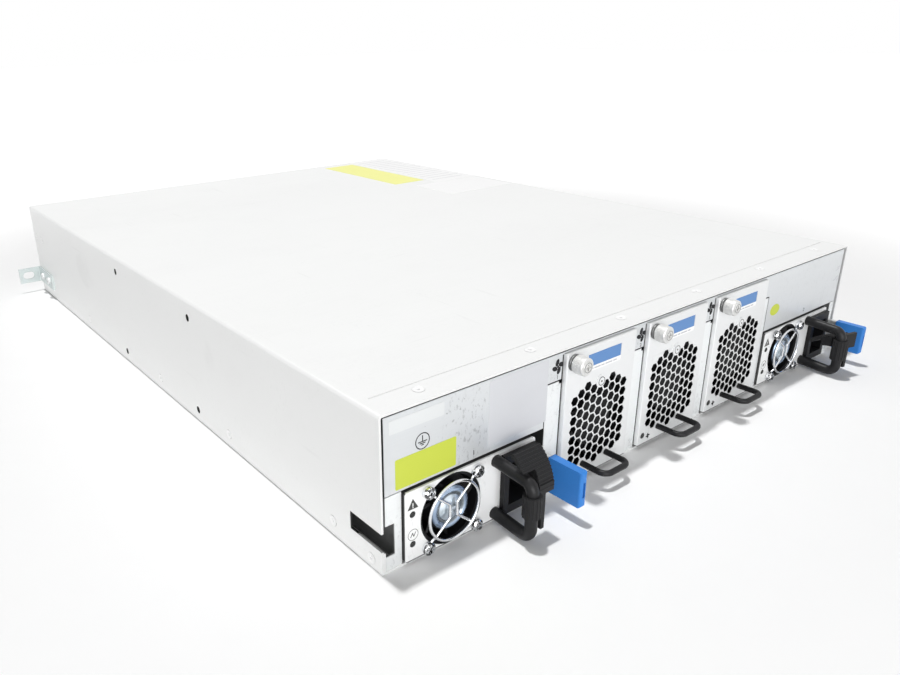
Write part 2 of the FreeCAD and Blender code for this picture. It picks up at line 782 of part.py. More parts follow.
def rack_ear(side, hand):
    """An L-bracket on the cover's side with one slotted hole for the rack."""
    half = "chassis_width / 2"
    z = ("ear_low", "ear_low + ear_height")
    flange = box(f"ear_flange_{hand}", mirrored(side, half, f"{half} + ear_sheet"),
                 (f"{PORT_END} - ear_flange", PORT_END), z)
    tab = box(f"ear_tab_{hand}", mirrored(side, half, "rack_width / 2"),
              (f"{PORT_END} - ear_sheet", PORT_END), z)
    blank = join(f"ear_blank_{hand}", [flange, tab])
    root = side * (size("chassis_width") / 2 + size("ear_sheet"))
    inner = size("chassis_depth") / 2 - size("ear_sheet")

    def inside_corner(bounds):
        near = abs(bounds.XMin - root) < 0.1 and abs(bounds.YMin - inner) < 0.1
        return near and bounds.ZLength > size("ear_height") / 2 and bounds.XLength < 0.1

    bent = rounded(f"ear_bent_{hand}", blank, size("ear_bend") - size("ear_sheet"), inside_corner)
    middle = "(ear_low + ear_height / 2)"
    reach = "(rack_slot_length / 2 - rack_slot_radius)"
    through = f"{PORT_END} - ear_sheet * 2"
    centre = f"({side} * rack_slot_span / 2)"
    tools = [box(f"ear_slot_{hand}", (f"{centre} - {reach}", f"{centre} + {reach}"), (through, PORT_END),
                 (f"{middle} - rack_slot_radius", f"{middle} + rack_slot_radius"))]
    for end in (-1, 1):
        spot = (f"{centre} + {end} * {reach}", through, middle)
        tools.append(rod(f"ear_slot_{hand}_{end + 1}", "y", spot, "rack_slot_radius", "ear_sheet * 3"))
    for name, aim, spot in ear_screw_places():
        if hand in name:
            tools.append(rod(f"{name}_hole", aim, spot, "screw_radius + screw_fit", "ear_sheet * 2"))
    node(f"ear_{hand}", cut(f"ear_cut_{hand}", bent, tools))


# Power supplies
def psu_case(name, start):
    """The closed sheet case with its faceplate."""
    left = f"({start} + slide_gap)"
    right = f"({left} + case_width)"
    y = (CASE_FACE, f"{CASE_FACE} + case_length")
    outer = box(f"{name}_outer", (left, right), y, (CASE_LOW, CASE_TOP))
    doc.recompute()

    def long_edge(bounds):
        return bounds.YLength > size("case_length") / 2

    shell = rounded(f"{name}_outer_round", outer, size("case_round"), long_edge)
    inside_z = (f"{CASE_LOW} + case_sheet", f"{CASE_TOP} - case_sheet")
    inner = box(f"{name}_inner", (f"{left} + case_sheet", f"{right} - case_sheet"),
                (CASE_INSIDE, f"{y[1]} - case_sheet"), inside_z)
    front = f"{CASE_FACE} - case_front"
    deep = "case_front * 3"
    fan_spot = (f"{start} + psu_fan_place", front, PSU_MIDDLE)
    tools = [inner, rod(f"{name}_fan_window", "y", fan_spot, "psu_fan_window", deep)]
    for level in ("low", "high"):
        light_spot = (f"{start} + light_place", front, f"light_{level}")
        tools.append(rod(f"{name}_light_{level}", "y", light_spot, "light_radius", deep))
        grip_spot = (f"{start} + handle_place", front, f"handle_{level}")
        tools.append(rod(f"{name}_grip_{level}", "y", grip_spot, "handle_radius + rotor_fit", deep))
    body_x, body_z = inlet_body(start)
    tools.append(box(f"{name}_inlet_window", body_x, (front, f"{CASE_INSIDE} + case_front"), body_z))
    for number, spot in enumerate(guard_screw_spots(start)):
        hole_spot = (spot[0], front, spot[1])
        tools.append(rod(f"{name}_guard_hole_{number}", "y", hole_spot, "screw_radius + screw_fit", deep))
    tail_x, tail_z = psu_tail(start, "slide_gap / 2")
    tools.append(box(f"{name}_tail_slot", tail_x, (f"{y[1]} - case_sheet * 2", f"{y[1]} + case_sheet"),
                     tail_z))
    node(f"{name}_case", cut(f"{name}_shell", shell, tools))


def guard_screw_spots(start):
    """X and Z of the four screws round a power-supply fan."""
    spots = []
    for across in (-1, 1):
        for along in (-1, 1):
            spots.append((f"{start} + psu_fan_place + {across} * guard_screw_pitch / 2",
                          f"{PSU_MIDDLE} + {along} * guard_screw_pitch / 2"))
    return spots


def inlet_body(start):
    """X and Z bounds of the inlet's body behind its rim."""
    left = f"({start} + inlet_place)"
    x = (f"{left} + inlet_rim", f"{left} + inlet_width - inlet_rim")
    z = (f"{PSU_MIDDLE} - inlet_height / 2 + inlet_rim", f"{PSU_MIDDLE} + inlet_height / 2 - inlet_rim")
    return x, z


def psu_tail(start, gap):
    """X and Z bounds of the contact tail of a power-supply board, with a gap round it."""
    left = f"({start} + psu_tail_start)"
    x = (f"{left} - {gap}", f"{left} + psu_tail_width + {gap}")
    z = (f"psu_board_height - {gap}", f"psu_board_height + board_sheet + {gap}")
    return x, z


def fan_housing(label, middle, start, height, measure):
    """A square fan frame with a round bore and a stator hub on arms at its back."""
    half = f"({measure['frame']} / 2)"
    y = (start, f"{start} + {measure['depth']}")
    name = f"{label}_stock"
    frame = box(f"{name}_block", (f"{middle} - {half}", f"{middle} + {half}"), y,
                (f"{height} - {half}", f"{height} + {half}"))
    spot = (middle, start, height)
    ring = cut(f"{name}_ring", frame, [rod(f"{name}_bore", "y", spot, measure["bore"], measure["depth"])])
    arms_y = (f"{y[1]} - stator_depth", y[1])
    hub = rod(f"{name}_hub", "y", (middle, arms_y[0], height), measure["hub"], "stator_depth")
    reach = f"({measure['bore']} + stator_lap)"
    level = box(f"{name}_level_arm", (f"{middle} - {reach}", f"{middle} + {reach}"), arms_y,
                (f"{height} - stator_arm / 2", f"{height} + stator_arm / 2"))
    upright = box(f"{name}_upright_arm", (f"{middle} - stator_arm / 2", f"{middle} + stator_arm / 2"),
                  arms_y, (f"{height} - {reach}", f"{height} + {reach}"))
    bearing = rod(f"{name}_bearing", "y", spot, "rotor_shaft + rotor_fit", f"{measure['depth']} * 2")
    return join(f"{name}_joined", [ring, hub, level, upright]), bearing


def fan_rotor(label, spot, depth, hub, tip, chord, blades):
    """A hub with pitched blades and a shaft that runs in the stator hub, behind a spot on the frame."""
    arms = size("stator_depth")
    gap = size("slide_gap")
    back = spot.y + depth - arms
    front = spot.y + gap
    hub_length = back - front - gap
    axis = AIMS["y"]
    centre = FreeCAD.Vector(spot.x, 0, spot.z)
    nose = centre + axis * front
    shape = Part.makeCylinder(hub, hub_length, nose, axis)
    shape = shape.fuse(Part.makeCylinder(size("rotor_shaft"), back - front + arms / 2, nose, axis))
    limit = Part.makeCylinder(tip, hub_length, nose, axis)
    thickness = size("blade_sheet")
    mid = front + hub_length / 2
    for number in range(blades):
        blade = Part.makeBox(thickness, chord, tip * 2, FreeCAD.Vector(-thickness / 2, -chord / 2, 0))
        blade.rotate(FreeCAD.Vector(), UP, size("blade_pitch"))
        blade.rotate(FreeCAD.Vector(), axis, 360.0 * number / blades)
        blade.translate(centre + axis * mid)
        shape = shape.fuse(blade.common(limit))
    node(label, solid(f"{label}_solid", shape.removeSplitter()))


def finger_guard(name, start):
    """A chrome wire ring on two bent wires that end in eyes round the guard screws."""
    wire = size("guard_wire")
    middle = start + size("psu_fan_place")
    height = size("base_sheet") + size("slide_gap") + size("case_height") / 2
    plate_face = -size("chassis_depth") / 2 - size("case_proud")
    foot = plate_face - wire
    rise = foot - size("guard_rise")
    half = size("guard_screw_pitch") / 2
    axis = AIMS["-y"]

    def spot(x, y, z):
        return FreeCAD.Vector(middle + x, y, height + z)

    def run(points):
        wires = [Part.makeSphere(wire, point) for point in points[1:-1]]
        for a, b in zip(points, points[1:]):
            wires.append(Part.makeCylinder(wire, (b - a).Length, a, b - a))
        return wires

    ring_plane = rise - size("guard_ring_lap")
    shapes = [Part.makeTorus(size("guard_ring"), wire, spot(0, ring_plane, 0), axis)]
    reach = size("guard_ring") / math.sqrt(2)
    waist = size("guard_waist")
    for side in (-1, 1):
        points = []
        for level in (1, -1):
            diagonal = FreeCAD.Vector(side, 0, level).normalize()
            eye = spot(side * half, foot, level * half)
            shapes.append(Part.makeTorus(size("guard_eye"), wire, eye, axis))
            start_point = eye - diagonal * size("guard_eye")
            toe = eye - diagonal * (size("pan_head_radius") + wire + size("slide_gap"))
            shoulder = spot(side * reach, rise, level * reach)
            crossing = spot(side * waist, rise, level * size("guard_waist_rise"))
            legs = [start_point, toe, shoulder, crossing]
            points += legs if level > 0 else legs[::-1]
        shapes += run(points)
    shape = shapes[0].multiFuse(shapes[1:])
    node(f"{name}_finger_guard", solid(f"{name}_guard_solid", shape))


def psu_inlet(name, start):
    """The mains inlet: rim on the faceplate, body behind it and an open mouth."""
    left = f"({start} + inlet_place)"
    rim_z = (f"{PSU_MIDDLE} - inlet_height / 2", f"{PSU_MIDDLE} + inlet_height / 2")
    rim_y = (f"{CASE_FACE} - inlet_proud", CASE_FACE)
    body_x, body_z = inlet_body(start)
    gap = "screw_fit"
    floor = f"{rim_y[0]} + inlet_mouth_depth"
    rim = box(f"{name}_rim", (left, f"{left} + inlet_width"), rim_y, rim_z)
    body = box(f"{name}_body", (f"{body_x[0]} + {gap}", f"{body_x[1]} - {gap}"),
               (CASE_FACE, f"{floor} + inlet_floor"), (f"{body_z[0]} + {gap}", f"{body_z[1]} - {gap}"))
    middle = f"({left} + inlet_width / 2)"
    mouth_x = (f"{middle} - inlet_mouth_width / 2", f"{middle} + inlet_mouth_width / 2")
    mouth_z = (f"{PSU_MIDDLE} - inlet_mouth_height / 2", f"{PSU_MIDDLE} + inlet_mouth_height / 2")
    mouth = box(f"{name}_mouth", mouth_x, (rim_y[0], floor), mouth_z)
    node(f"{name}_inlet", cut(f"{name}_inlet_cut", join(f"{name}_inlet_blank", [rim, body]), [mouth]))
    pins = []
    spots = (("pin_offset", "0"), ("-pin_offset", "pin_spread"), ("-pin_offset", "-pin_spread"))
    for number, (across, along) in enumerate(spots):
        x = f"({middle} + {across})"
        z = f"({PSU_MIDDLE} + {along})"
        pins.append(box(f"{name}_pin_{number}", (f"{x} - pin_thick / 2", f"{x} + pin_thick / 2"),
                        (f"{floor} - pin_length", floor), (f"{z} - pin_wide / 2", f"{z} + pin_wide / 2")))
    node(f"{name}_inlet_pins", group(f"{name}_pins", pins))


def bent_bar(points, turn, radius):
    """A round bar along straight runs, with every corner bent at one radius."""
    runs = []
    last = points[0]
    for before, corner, after in zip(points, points[1:], points[2:]):
        back = (before - corner).normalize()
        ahead = (after - corner).normalize()
        half = back.getAngle(ahead) / 2
        entry = corner + back * (turn / math.tan(half))
        leave = corner + ahead * (turn / math.tan(half))
        crown = corner + (back + ahead).normalize() * (turn / math.sin(half) - turn)
        runs.append(Part.makeLine(last, entry))
        runs.append(Part.Arc(entry, crown, leave).toShape())
        last = leave
    runs.append(Part.makeLine(last, points[-1]))
    ring = Part.Wire([Part.makeCircle(radius, points[0], points[1] - points[0])])
    return Part.Wire(runs).makePipeShell([ring], True, False)


def psu_handle(name, start):
    """A round-bar handle in an upright plane, whose arms droop a little from their collars to the bar."""
    x = start + size("handle_place")
    face = -size("chassis_depth") / 2 - size("case_proud")
    root = face + size("case_front")
    collar = face - size("handle_collar")
    bar = face - size("handle_reach")
    low = size("handle_low")
    high = size("handle_high")
    droop = size("handle_droop")
    upper = [(root, high), (collar, high), (bar, high - droop)]
    lower = [(bar, low - droop), (collar, low), (root, low)]
    points = [FreeCAD.Vector(x, y, z) for y, z in upper + lower]
    shape = bent_bar(points, size("handle_bend"), size("handle_radius"))
    node(f"{name}_handle", solid(f"{name}_handle_bar", shape))


def cord_clip(name, hand, start):
    """A ribbed sleeve on the handle's bar with a tail and a cheeked hood that swings over the inlet."""
    face = -size("chassis_depth") / 2 - size("case_proud")
    bar = FreeCAD.Vector(start + size("handle_place"), face - size("handle_reach"), 0)
    inner = size("handle_radius") + size("sleeve_gap")
    outer = inner + size("sleeve_wall")
    low = size(f"sleeve_low_{hand}")
    tall = size("sleeve_high") - low
    base = bar + UP * low
    shape = Part.makeCylinder(outer, tall, base, UP)
    for number in range(SLEEVE_RIBS):
        angle = 2 * math.pi * number / SLEEVE_RIBS
        rib = base + FreeCAD.Vector(math.cos(angle), math.sin(angle), 0) * outer
        shape = shape.fuse(Part.makeCylinder(size("sleeve_rib"), tall, rib, UP))
    radius = size("hood_radius")
    thick = size("hood_sheet")
    axis_point = FreeCAD.Vector(bar.x - size("hood_left"), face, size("hood_axis_height"))
    width = size("hood_left") + size("hood_right")
    along = AIMS["x"]
    first = size("hood_start")
    last = size("hood_finish")
    band = Part.makeCylinder(radius, width, axis_point, along)
    band = band.cut(Part.makeCylinder(radius - thick, width, axis_point, along))
    for number in range(HOOD_RIBS):
        angle = math.radians(first + (last - first) * (number + 0.5) / HOOD_RIBS)
        rib = axis_point + FreeCAD.Vector(0, -math.cos(angle), math.sin(angle)) * radius
        band = band.fuse(Part.makeCylinder(size("hood_rib"), width, rib, along))

    def sector(finish):
        """The wedge of the hood's arc from its lower edge up to one angle."""
        corners = [axis_point]
        for angle in (first, (first + finish) / 2, finish):
            turn = math.radians(angle)
            corners.append(axis_point + FreeCAD.Vector(0, -math.cos(turn), math.sin(turn)) * radius * 1.5)
        return Part.Face(Part.makePolygon(corners + corners[:1])).extrude(along * width)

    band = band.common(sector(last))
    clear = size("handle_radius") + size("hood_clear")
    offsets = [size("hood_left") + clear]
    if size(f"hood_swing_{hand}") > 0:
        offsets.append(0)
    for offset in offsets:
        end = axis_point + along * offset
        cheek = Part.makeCylinder(radius - thick / 2, size("cheek_sheet"), end, along)
        cheek = cheek.cut(Part.makeCylinder(radius - size("cheek_depth"), size("cheek_sheet"), end, along))
        band = band.fuse(cheek.common(sector(size("cheek_finish"))))
    pivot = axis_point + FreeCAD.Vector(0, thick / 2 - radius, radius * math.sin(math.radians(first)))
    band.rotate(pivot, along, -size(f"hood_swing_{hand}"))
    arm_top = size("handle_high") + clear
    arm_low = size("handle_high") - size("handle_droop") - clear
    corner = FreeCAD.Vector(axis_point.x, face - radius * 2, 0)
    wide = size("hood_left") + clear
    deep = radius * 2 - size("handle_reach") + clear
    beside_bar = Part.makeBox(wide, deep, arm_top, corner)
    beside_arm = Part.makeBox(wide, radius * 2, arm_top - arm_low, corner + UP * arm_low)
    band = band.cut(beside_bar).cut(beside_arm)
    root_high = size("hood_axis_height") + size("hood_root_rise")
    root_low = size("hood_axis_height") - size(f"hood_root_drop_{hand}")
    neck_high = size("sleeve_high")
    front = face - radius
    neck = Part.makeBox(size("hood_right") - inner, thick, neck_high - root_low,
                        FreeCAD.Vector(bar.x + inner, front, root_low))
    root = Part.makeBox(size("hood_right") - clear, thick, root_high - root_low,
                        FreeCAD.Vector(bar.x + clear, front, root_low))
    tail = Part.makeBox(size("tail_thick"), thick, root_low + thick - size("tail_low"),
                        FreeCAD.Vector(bar.x + size("tail_place"), front, size("tail_low")))
    shape = shape.multiFuse([band, neck, root, tail])
    shape = shape.cut(Part.makeCylinder(inner, tall * 3, base - UP * tall, UP)).removeSplitter()
    shape.rotate(bar, UP, size(f"clip_turn_{hand}"))
    node(f"{name}_cord_clip", solid(f"{name}_clip_solid", shape))


def psu_latch(name, hand, start):
    """The release tab, moulded on the tongue of a spring strip that is fixed to the case's side."""
    left = f"({start} + latch_place)"
    right = f"({left} + latch_thick)"
    z = ("latch_low", "latch_high")
    root = f"({FACE} + latch_root)"
    strip = (f"{right} - latch_strip", right)
    flange_y = (f"{CASE_FACE} + latch_strip / 2", f"{CASE_FACE} + latch_strip * 3 / 2")
    pieces = [
        box(f"{name}_strip_flange", (left, right), flange_y,
            ("latch_low - latch_strip * 2", "latch_high + latch_strip * 2")),
        box(f"{name}_strip_run", strip, (flange_y[0], root), z),
        box(f"{name}_strip_foot", (f"{start} + slide_gap + case_width", right),
            (f"{root} - latch_strip", root), z),
        box(f"{name}_strip_tongue", (f"{left} + latch_strip", f"{right} - latch_strip"),
            (f"{flange_y[0]} - latch_bare", flange_y[0]),
            ("latch_low + latch_strip", "latch_high - latch_strip")),
    ]
    node(f"{name}_latch_strip", join(f"{name}_strip", pieces))
    reach = f"latch_reach_{hand}"
    tab_y = (f"{flange_y[0]} - {reach}", f"{flange_y[0]} - latch_bare")
    tab = box(f"{name}_tab_block", (left, right), tab_y, z)
    tip = -size("chassis_depth") / 2 - size("case_proud") + size("latch_strip") / 2 - size(reach)

    def tip_edge(bounds):
        return bounds.YMax < tip + 0.1

    tab_round = rounded(f"{name}_tab_round", tab, size("latch_round"), tip_edge)
    middle = f"(({left} + {right}) / 2)"
    height = "((latch_low + latch_high) / 2)"
    slot = box(f"{name}_tab_slot", (f"{middle} - latch_strip", f"{middle} + latch_strip"),
               (f"{flange_y[0]} - {reach}", f"{flange_y[0]} - {reach} + latch_round"),
               (f"{height} - latch_slot / 2", f"{height} + latch_slot / 2"))
    node(f"{name}_latch_tab", cut(f"{name}_tab", tab_round, [slot]))


def psu_board(name, start):
    """The power board on the case's floor pads, with its contact tail, transformer, choke and heat sink."""
    left = f"({start} + slide_gap + case_sheet + board_sheet)"
    right = f"({start} + slide_gap + case_width - case_sheet - board_sheet)"
    end = f"({CASE_FACE} + case_length - case_sheet)"
    z = ("psu_board_height", "psu_board_height + board_sheet")
    begin = f"({CASE_INSIDE} + psu_fan_depth + board_sheet)"
    tail_x, tail_z = psu_tail(start, "0")
    pieces = [
        box(f"{name}_board_sheet", (left, right), (begin, f"{end} - board_sheet"), z),
        box(f"{name}_board_tail", tail_x,
            (f"{end} - board_sheet * 2", f"{end} + case_sheet + psu_tail_length"), tail_z),
    ]
    floor = f"({CASE_LOW} + case_sheet)"
    pad_height = f"psu_board_height - {floor}"
    for pad_x in (f"{left} + psu_pad_inset", f"{right} - psu_pad_inset"):
        for pad_y in (f"{begin} + psu_pad_inset", f"{end} - psu_pad_inset"):
            pad_name = f"{name}_board_pad_{len(pieces)}"
            pieces.append(rod(pad_name, "z", (pad_x, pad_y, floor), "standoff_radius", pad_height))
    for part in ("choke", "transformer", "psu_sink"):
        x = (f"{left} + {part}_place", f"{left} + {part}_place + {part}_width")
        y = (f"{begin} + {part}_start", f"{begin} + {part}_start + {part}_length")
        pieces.append(box(f"{name}_board_{part}", x, y, (z[1], f"{z[1]} + {part}_height")))
    node(f"{name}_board", join(f"{name}_board_joined", pieces))


def power_supply(hand):
    """One pull-out power supply with everything on it."""
    name = f"psu_{hand}"
    start = PSU_BAYS[hand]
    first = size("psu_bay_start") + (size("psu_bay_pitch") if hand == "right" else 0.0)
    psu_case(name, start)
    measure = {"frame": "psu_fan_frame", "depth": "psu_fan_depth", "bore": "psu_fan_bore",
               "hub": "psu_stator_hub"}
    middle = f"({start} + psu_fan_place)"
    stock, bearing = fan_housing(f"{name}_fan_frame", middle, CASE_INSIDE, PSU_MIDDLE, measure)
    holes = [bearing]
    screws = []
    for number, spot in enumerate(guard_screw_spots(start)):
        holes.append(rod(f"{name}_frame_hole_{number}", "y", (spot[0], CASE_INSIDE, spot[1]),
                         "screw_radius + screw_fit", "psu_fan_depth"))
        seat = (spot[0], f"{CASE_FACE} - guard_wire * 2", spot[1])
        screws.append(pan_screw(f"{name}_guard_screw_{number}", "y", seat, "screw_length * 2"))
    node(f"{name}_fan_frame", cut(f"{name}_fan_frame_cut", stock, holes))
    inside = -size("chassis_depth") / 2 - size("case_proud") + size("case_front")
    height = size("base_sheet") + size("slide_gap") + size("case_height") / 2
    fan_spot = FreeCAD.Vector(first + size("psu_fan_place"), inside, height)
    fan_rotor(f"{name}_fan_rotor", fan_spot, size("psu_fan_depth"), size("psu_fan_hub"),
              size("psu_fan_bore") - size("psu_fan_tip_gap"), size("psu_fan_chord"), PSU_BLADES)
    finger_guard(name, first)
    node(f"{name}_guard_screws", group(f"{name}_screw_group", screws))
    psu_inlet(name, start)
    psu_handle(name, first)
    cord_clip(name, hand, first)
    psu_latch(name, hand, start)
    psu_board(name, start)


# Fan modules
def fan_plate(number):
    """The perforated faceplate with its folded edges and the pressed-in stud."""
    name = f"fan_{number}"
    middle = size("fan_middle") + (number - 2) * size("fan_pitch")
    half = size("fan_bay_width") / 2 - size("fan_plate_gap")
    low = size("fan_plate_low")
    high = size("fan_plate_high")
    pitch = size("vent_pitch")
    column_pitch = pitch * math.sqrt(3) / 2
    outline = [rectangle((middle - half, middle + half), (low, high))]
    for column in range(-4, 5):
        first, last = VENT_ROWS[abs(column)]
        stagger = 0.5 if column % 2 else 0.0
        for row in range(first, last + 1):
            z = size("vent_low") + (row + stagger) * pitch
            outline.append(hexagon(middle + column * column_pitch, z, size("vent_flats")))
    for side in (-1, 1):
        outline.append(circle(middle + side * HANDLE_COLUMN * column_pitch, size("vent_low"),
                              size("fan_handle_radius") + size("rotor_fit")))
    outline.append(circle(middle - size("fan_light_place"), size("fan_light_height"),
                          size("fan_light_radius")))
    outline.append(circle(middle - size("thumb_place"), size("thumb_height"),
                          size("screw_radius") + size("slide_gap")))
    distance = "chassis_depth / 2 + fan_proud - tray_sheet"
    sheet_plate = plate(f"{name}_plate", outline, distance, "tray_sheet")
    centre = fan_centre(number)
    reach = "(fan_bay_width / 2 - fan_plate_gap)"
    z = ("fan_plate_low", "fan_plate_high")
    deep = (FAN_FACE, FAN_FRAME_START)
    left_fold = (f"{centre} - {reach}", f"{centre} - {reach} + tray_sheet")
    right_fold = (f"{centre} + {reach} - tray_sheet", f"{centre} + {reach}")
    across = (left_fold[0], right_fold[1])
    pieces = [
        sheet_plate,
        box(f"{name}_left_fold", left_fold, deep, z),
        box(f"{name}_right_fold", right_fold, deep, z),
        box(f"{name}_top_fold", across, deep, ("fan_plate_high - tray_sheet", "fan_plate_high")),
        box(f"{name}_low_fold", across, deep, ("fan_plate_low", "fan_plate_low + tray_sheet")),
    ]
    front = -size("chassis_depth") / 2 - size("fan_proud")

    def fold_edge(bounds):
        return bounds.ZLength > (high - low) / 2 and bounds.YMax < front + 0.1

    blank = join(f"{name}_plate_blank", pieces)
    bent = rounded(f"{name}_folded", blank, size("fan_plate_round"), fold_edge)
    stud_spot = (centre, FAN_FACE, "stud_height")
    flange = rod(f"{name}_stud_flange", "-y", stud_spot, "stud_flange", "stud_rise / 2")
    stud = rod(f"{name}_stud", "-y", stud_spot, "stud_radius", "stud_rise")
    studded = join(f"{name}_plate_studded", [bent, flange, stud])
    dimple_spot = (centre, f"{FAN_FACE} - stud_rise", "stud_height")
    dimple = rod(f"{name}_stud_dimple", "y", dimple_spot, "stud_dimple", "stud_rise")
    node(f"{name}_plate", cut(f"{name}_plate_dimpled", studded, [dimple]))


def fan_handle(number):
    """A bent wire handle in a level plane."""
    name = f"fan_{number}"
    middle = fan_centre(number)
    spread = f"({HANDLE_COLUMN} * vent_pitch * sqrt(3) / 2)"
    bar = f"({FAN_FACE} - fan_handle_reach)"
    turn = f"({bar} + fan_handle_bend)"
    z = "vent_low"
    pieces = []
    for side, hand in ((-1, "left"), (1, "right")):
        x = f"({middle} + {side} * {spread})"
        arm = f"{FAN_BACK} - {turn}"
        pieces.append(rod(f"{name}_{hand}_arm", "y", (x, turn, z), "fan_handle_radius", arm))
        corner = (f"{x} - {side} * fan_handle_bend", turn, z)
        aim = AIMS["x"] if side > 0 else AIMS["-x"]
        pieces.append(bend(f"{name}_{hand}_bend", corner, aim, "fan_handle_bend", "fan_handle_radius"))
    straight = f"({spread} - fan_handle_bend)"
    grip_spot = (f"{middle} - {straight}", bar, z)
    pieces.append(rod(f"{name}_grip", "x", grip_spot, "fan_handle_radius", f"2 * {straight}"))
    node(f"{name}_handle", join(f"{name}_handle_bar", pieces))


def thumbscrew(number):
    """The captive screw that holds a fan module to its lug."""
    name = f"fan_{number}_thumb"
    spot = (f"{fan_centre(number)} - thumb_place", FAN_FACE, "thumb_height")
    end = f"({FAN_FACE} - thumb_length)"
    rim_spot = (spot[0], f"{end} + thumb_cap_rise", spot[2])
    neck = rod(f"{name}_neck", "-y", spot, "thumb_neck_radius", "thumb_neck")
    cap_spot = (spot[0], end, spot[2])
    cap = rod(f"{name}_cap", "y", cap_spot, "thumb_cap_radius", "thumb_cap_rise + thumb_round")
    knob = rod(f"{name}_knob", "y", rim_spot, "thumb_radius", "thumb_length - thumb_neck - thumb_cap_rise")
    plate_face = -size("chassis_depth") / 2 - size("fan_proud")
    front = plate_face - size("thumb_length") + size("thumb_cap_rise")
    back = plate_face - size("thumb_neck")

    def rim(bounds):
        end_edge = bounds.YMax < front + 0.1 or bounds.YMin > back - 0.1
        return bounds.XLength > size("thumb_radius") and end_edge

    knob_round = rounded(f"{name}_knob_round", knob, size("thumb_round"), rim)
    shank = rod(f"{name}_shank", "y", (spot[0], f"{FAN_FACE} - thumb_neck", spot[2]), "screw_radius",
                f"{FACE} + thumb_shank - {FAN_FACE} + thumb_neck")
    blank = join(f"{name}_blank", [neck, knob_round, cap, shank])
    recess = cross_recess(f"{name}_cross", "y", (spot[0], end, spot[2]))
    node(f"fan_{number}_thumbscrew", cut(name, blank, [recess]))


def fan_module(number):
    """One pull-out fan module."""
    name = f"fan_{number}"
    fan_plate(number)
    measure = {"frame": "fan_frame", "depth": "fan_frame_depth", "bore": "fan_bore",
               "hub": "fan_stator_hub"}
    middle = fan_centre(number)
    stock, bearing = fan_housing(f"{name}_frame", middle, FAN_FRAME_START, "fan_height", measure)
    back = f"({FAN_FRAME_START} + fan_frame_depth)"
    low = "(fan_height - fan_frame / 2)"
    plug = box(f"{name}_plug", (f"{middle} - fan_plug_width / 2", f"{middle} + fan_plug_width / 2"),
               (f"{back} - stator_depth", f"{back} + fan_plug_length"), (low, f"{low} + fan_plug_height"))
    bore = rod(f"{name}_plug_relief", "y", (middle, FAN_FRAME_START, "fan_height"), "fan_bore",
               "fan_frame_depth - stator_depth")
    housing = cut(f"{name}_bored", join(f"{name}_plugged", [stock, plug]), [bearing, bore])
    node(f"{name}_frame", housing)
    start = -size("chassis_depth") / 2 - size("fan_proud") + size("fan_return")
    x = size("fan_middle") + (number - 2) * size("fan_pitch")
    fan_rotor(f"{name}_rotor", FreeCAD.Vector(x, start, size("fan_height")), size("fan_frame_depth"),
              size("fan_hub"), size("fan_bore") - size("fan_tip_gap"), size("fan_chord"), FAN_BLADES)
    thumbscrew(number)
    fan_handle(number)


# Boards and the port side
def fan_board():
    """The upright board behind the fans, with an air hole and a socket for each."""
    x = (f"{post_edges(1)[0]} + bay_sheet * 2", f"{post_edges(4)[1]} - bay_sheet * 2")
    y = (f"{FACE} + fan_bay_depth", f"{FACE} + fan_bay_depth + board_sheet")
    sheet_board = box("fan_board_sheet", x, y, ("base_sheet", "fan_board_height"))
    holes = []
    sockets = []
    low = "(fan_height - fan_frame / 2)"
    plug_end = f"({FAN_FRAME_START} + fan_frame_depth + fan_plug_length)"
    for number in FANS:
        middle = fan_centre(number)
        spot = (middle, f"{y[0]} - board_sheet", "fan_height")
        holes.append(rod(f"fan_board_hole_{number}", "y", spot, "fan_board_hole", "board_sheet * 3"))
        socket_x = (f"{middle} - fan_plug_width / 2", f"{middle} + fan_plug_width / 2")
        sockets.append(box(f"fan_board_socket_{number}", socket_x, (f"{plug_end} + slide_gap", y[0]),
                           (low, f"{low} + fan_socket_height")))
    holed = cut("fan_board_holed", sheet_board, holes)
    node("fan_board", join("fan_board_joined", [holed] + sockets))


def main_board():
    """The level board with a socket for each power supply."""
    half = "main_board_width / 2"
    y = (f"{FACE} + main_board_start", f"{FACE} + main_board_end")
    z = ("base_sheet + main_board_lift", BOARD_TOP)
    pieces = [box("main_board_sheet", (f"-{half}", half), y, z)]
    slots = []
    for hand, start in PSU_BAYS.items():
        tail_x, tail_z = psu_tail(start, "slide_gap")
        wall = "board_sheet * 2"
        case_end = f"({CASE_FACE} + case_length)"
        socket_y = (f"{case_end} + slide_gap", f"{case_end} + slide_gap + socket_length")
        block = box(f"power_socket_{hand}", (f"{tail_x[0]} - {wall}", f"{tail_x[1]} + {wall}"), socket_y,
                    (f"{tail_z[0]} - {wall}", f"{tail_z[0]} - {wall} + socket_height"))
        pieces.append(block)
        slot_y = (f"{socket_y[0]} - board_sheet", f"{socket_y[1]} + board_sheet")
        slots.append(box(f"power_slot_{hand}", tail_x, slot_y, tail_z))
    node("main_board", cut("main_board_cut", join("main_board_blank", pieces), slots))
    posts = []
    for column in (-1, 0, 1):
        for row in range(4):
            spot = (f"{column} * standoff_spread", f"{y[0]} + standoff_first + {row} * standoff_pitch",
                    "base_sheet")
            posts.append(rod(f"standoff_{len(posts)}", "z", spot, "standoff_radius", "main_board_lift"))
    node("board_standoffs", group("standoffs", posts))


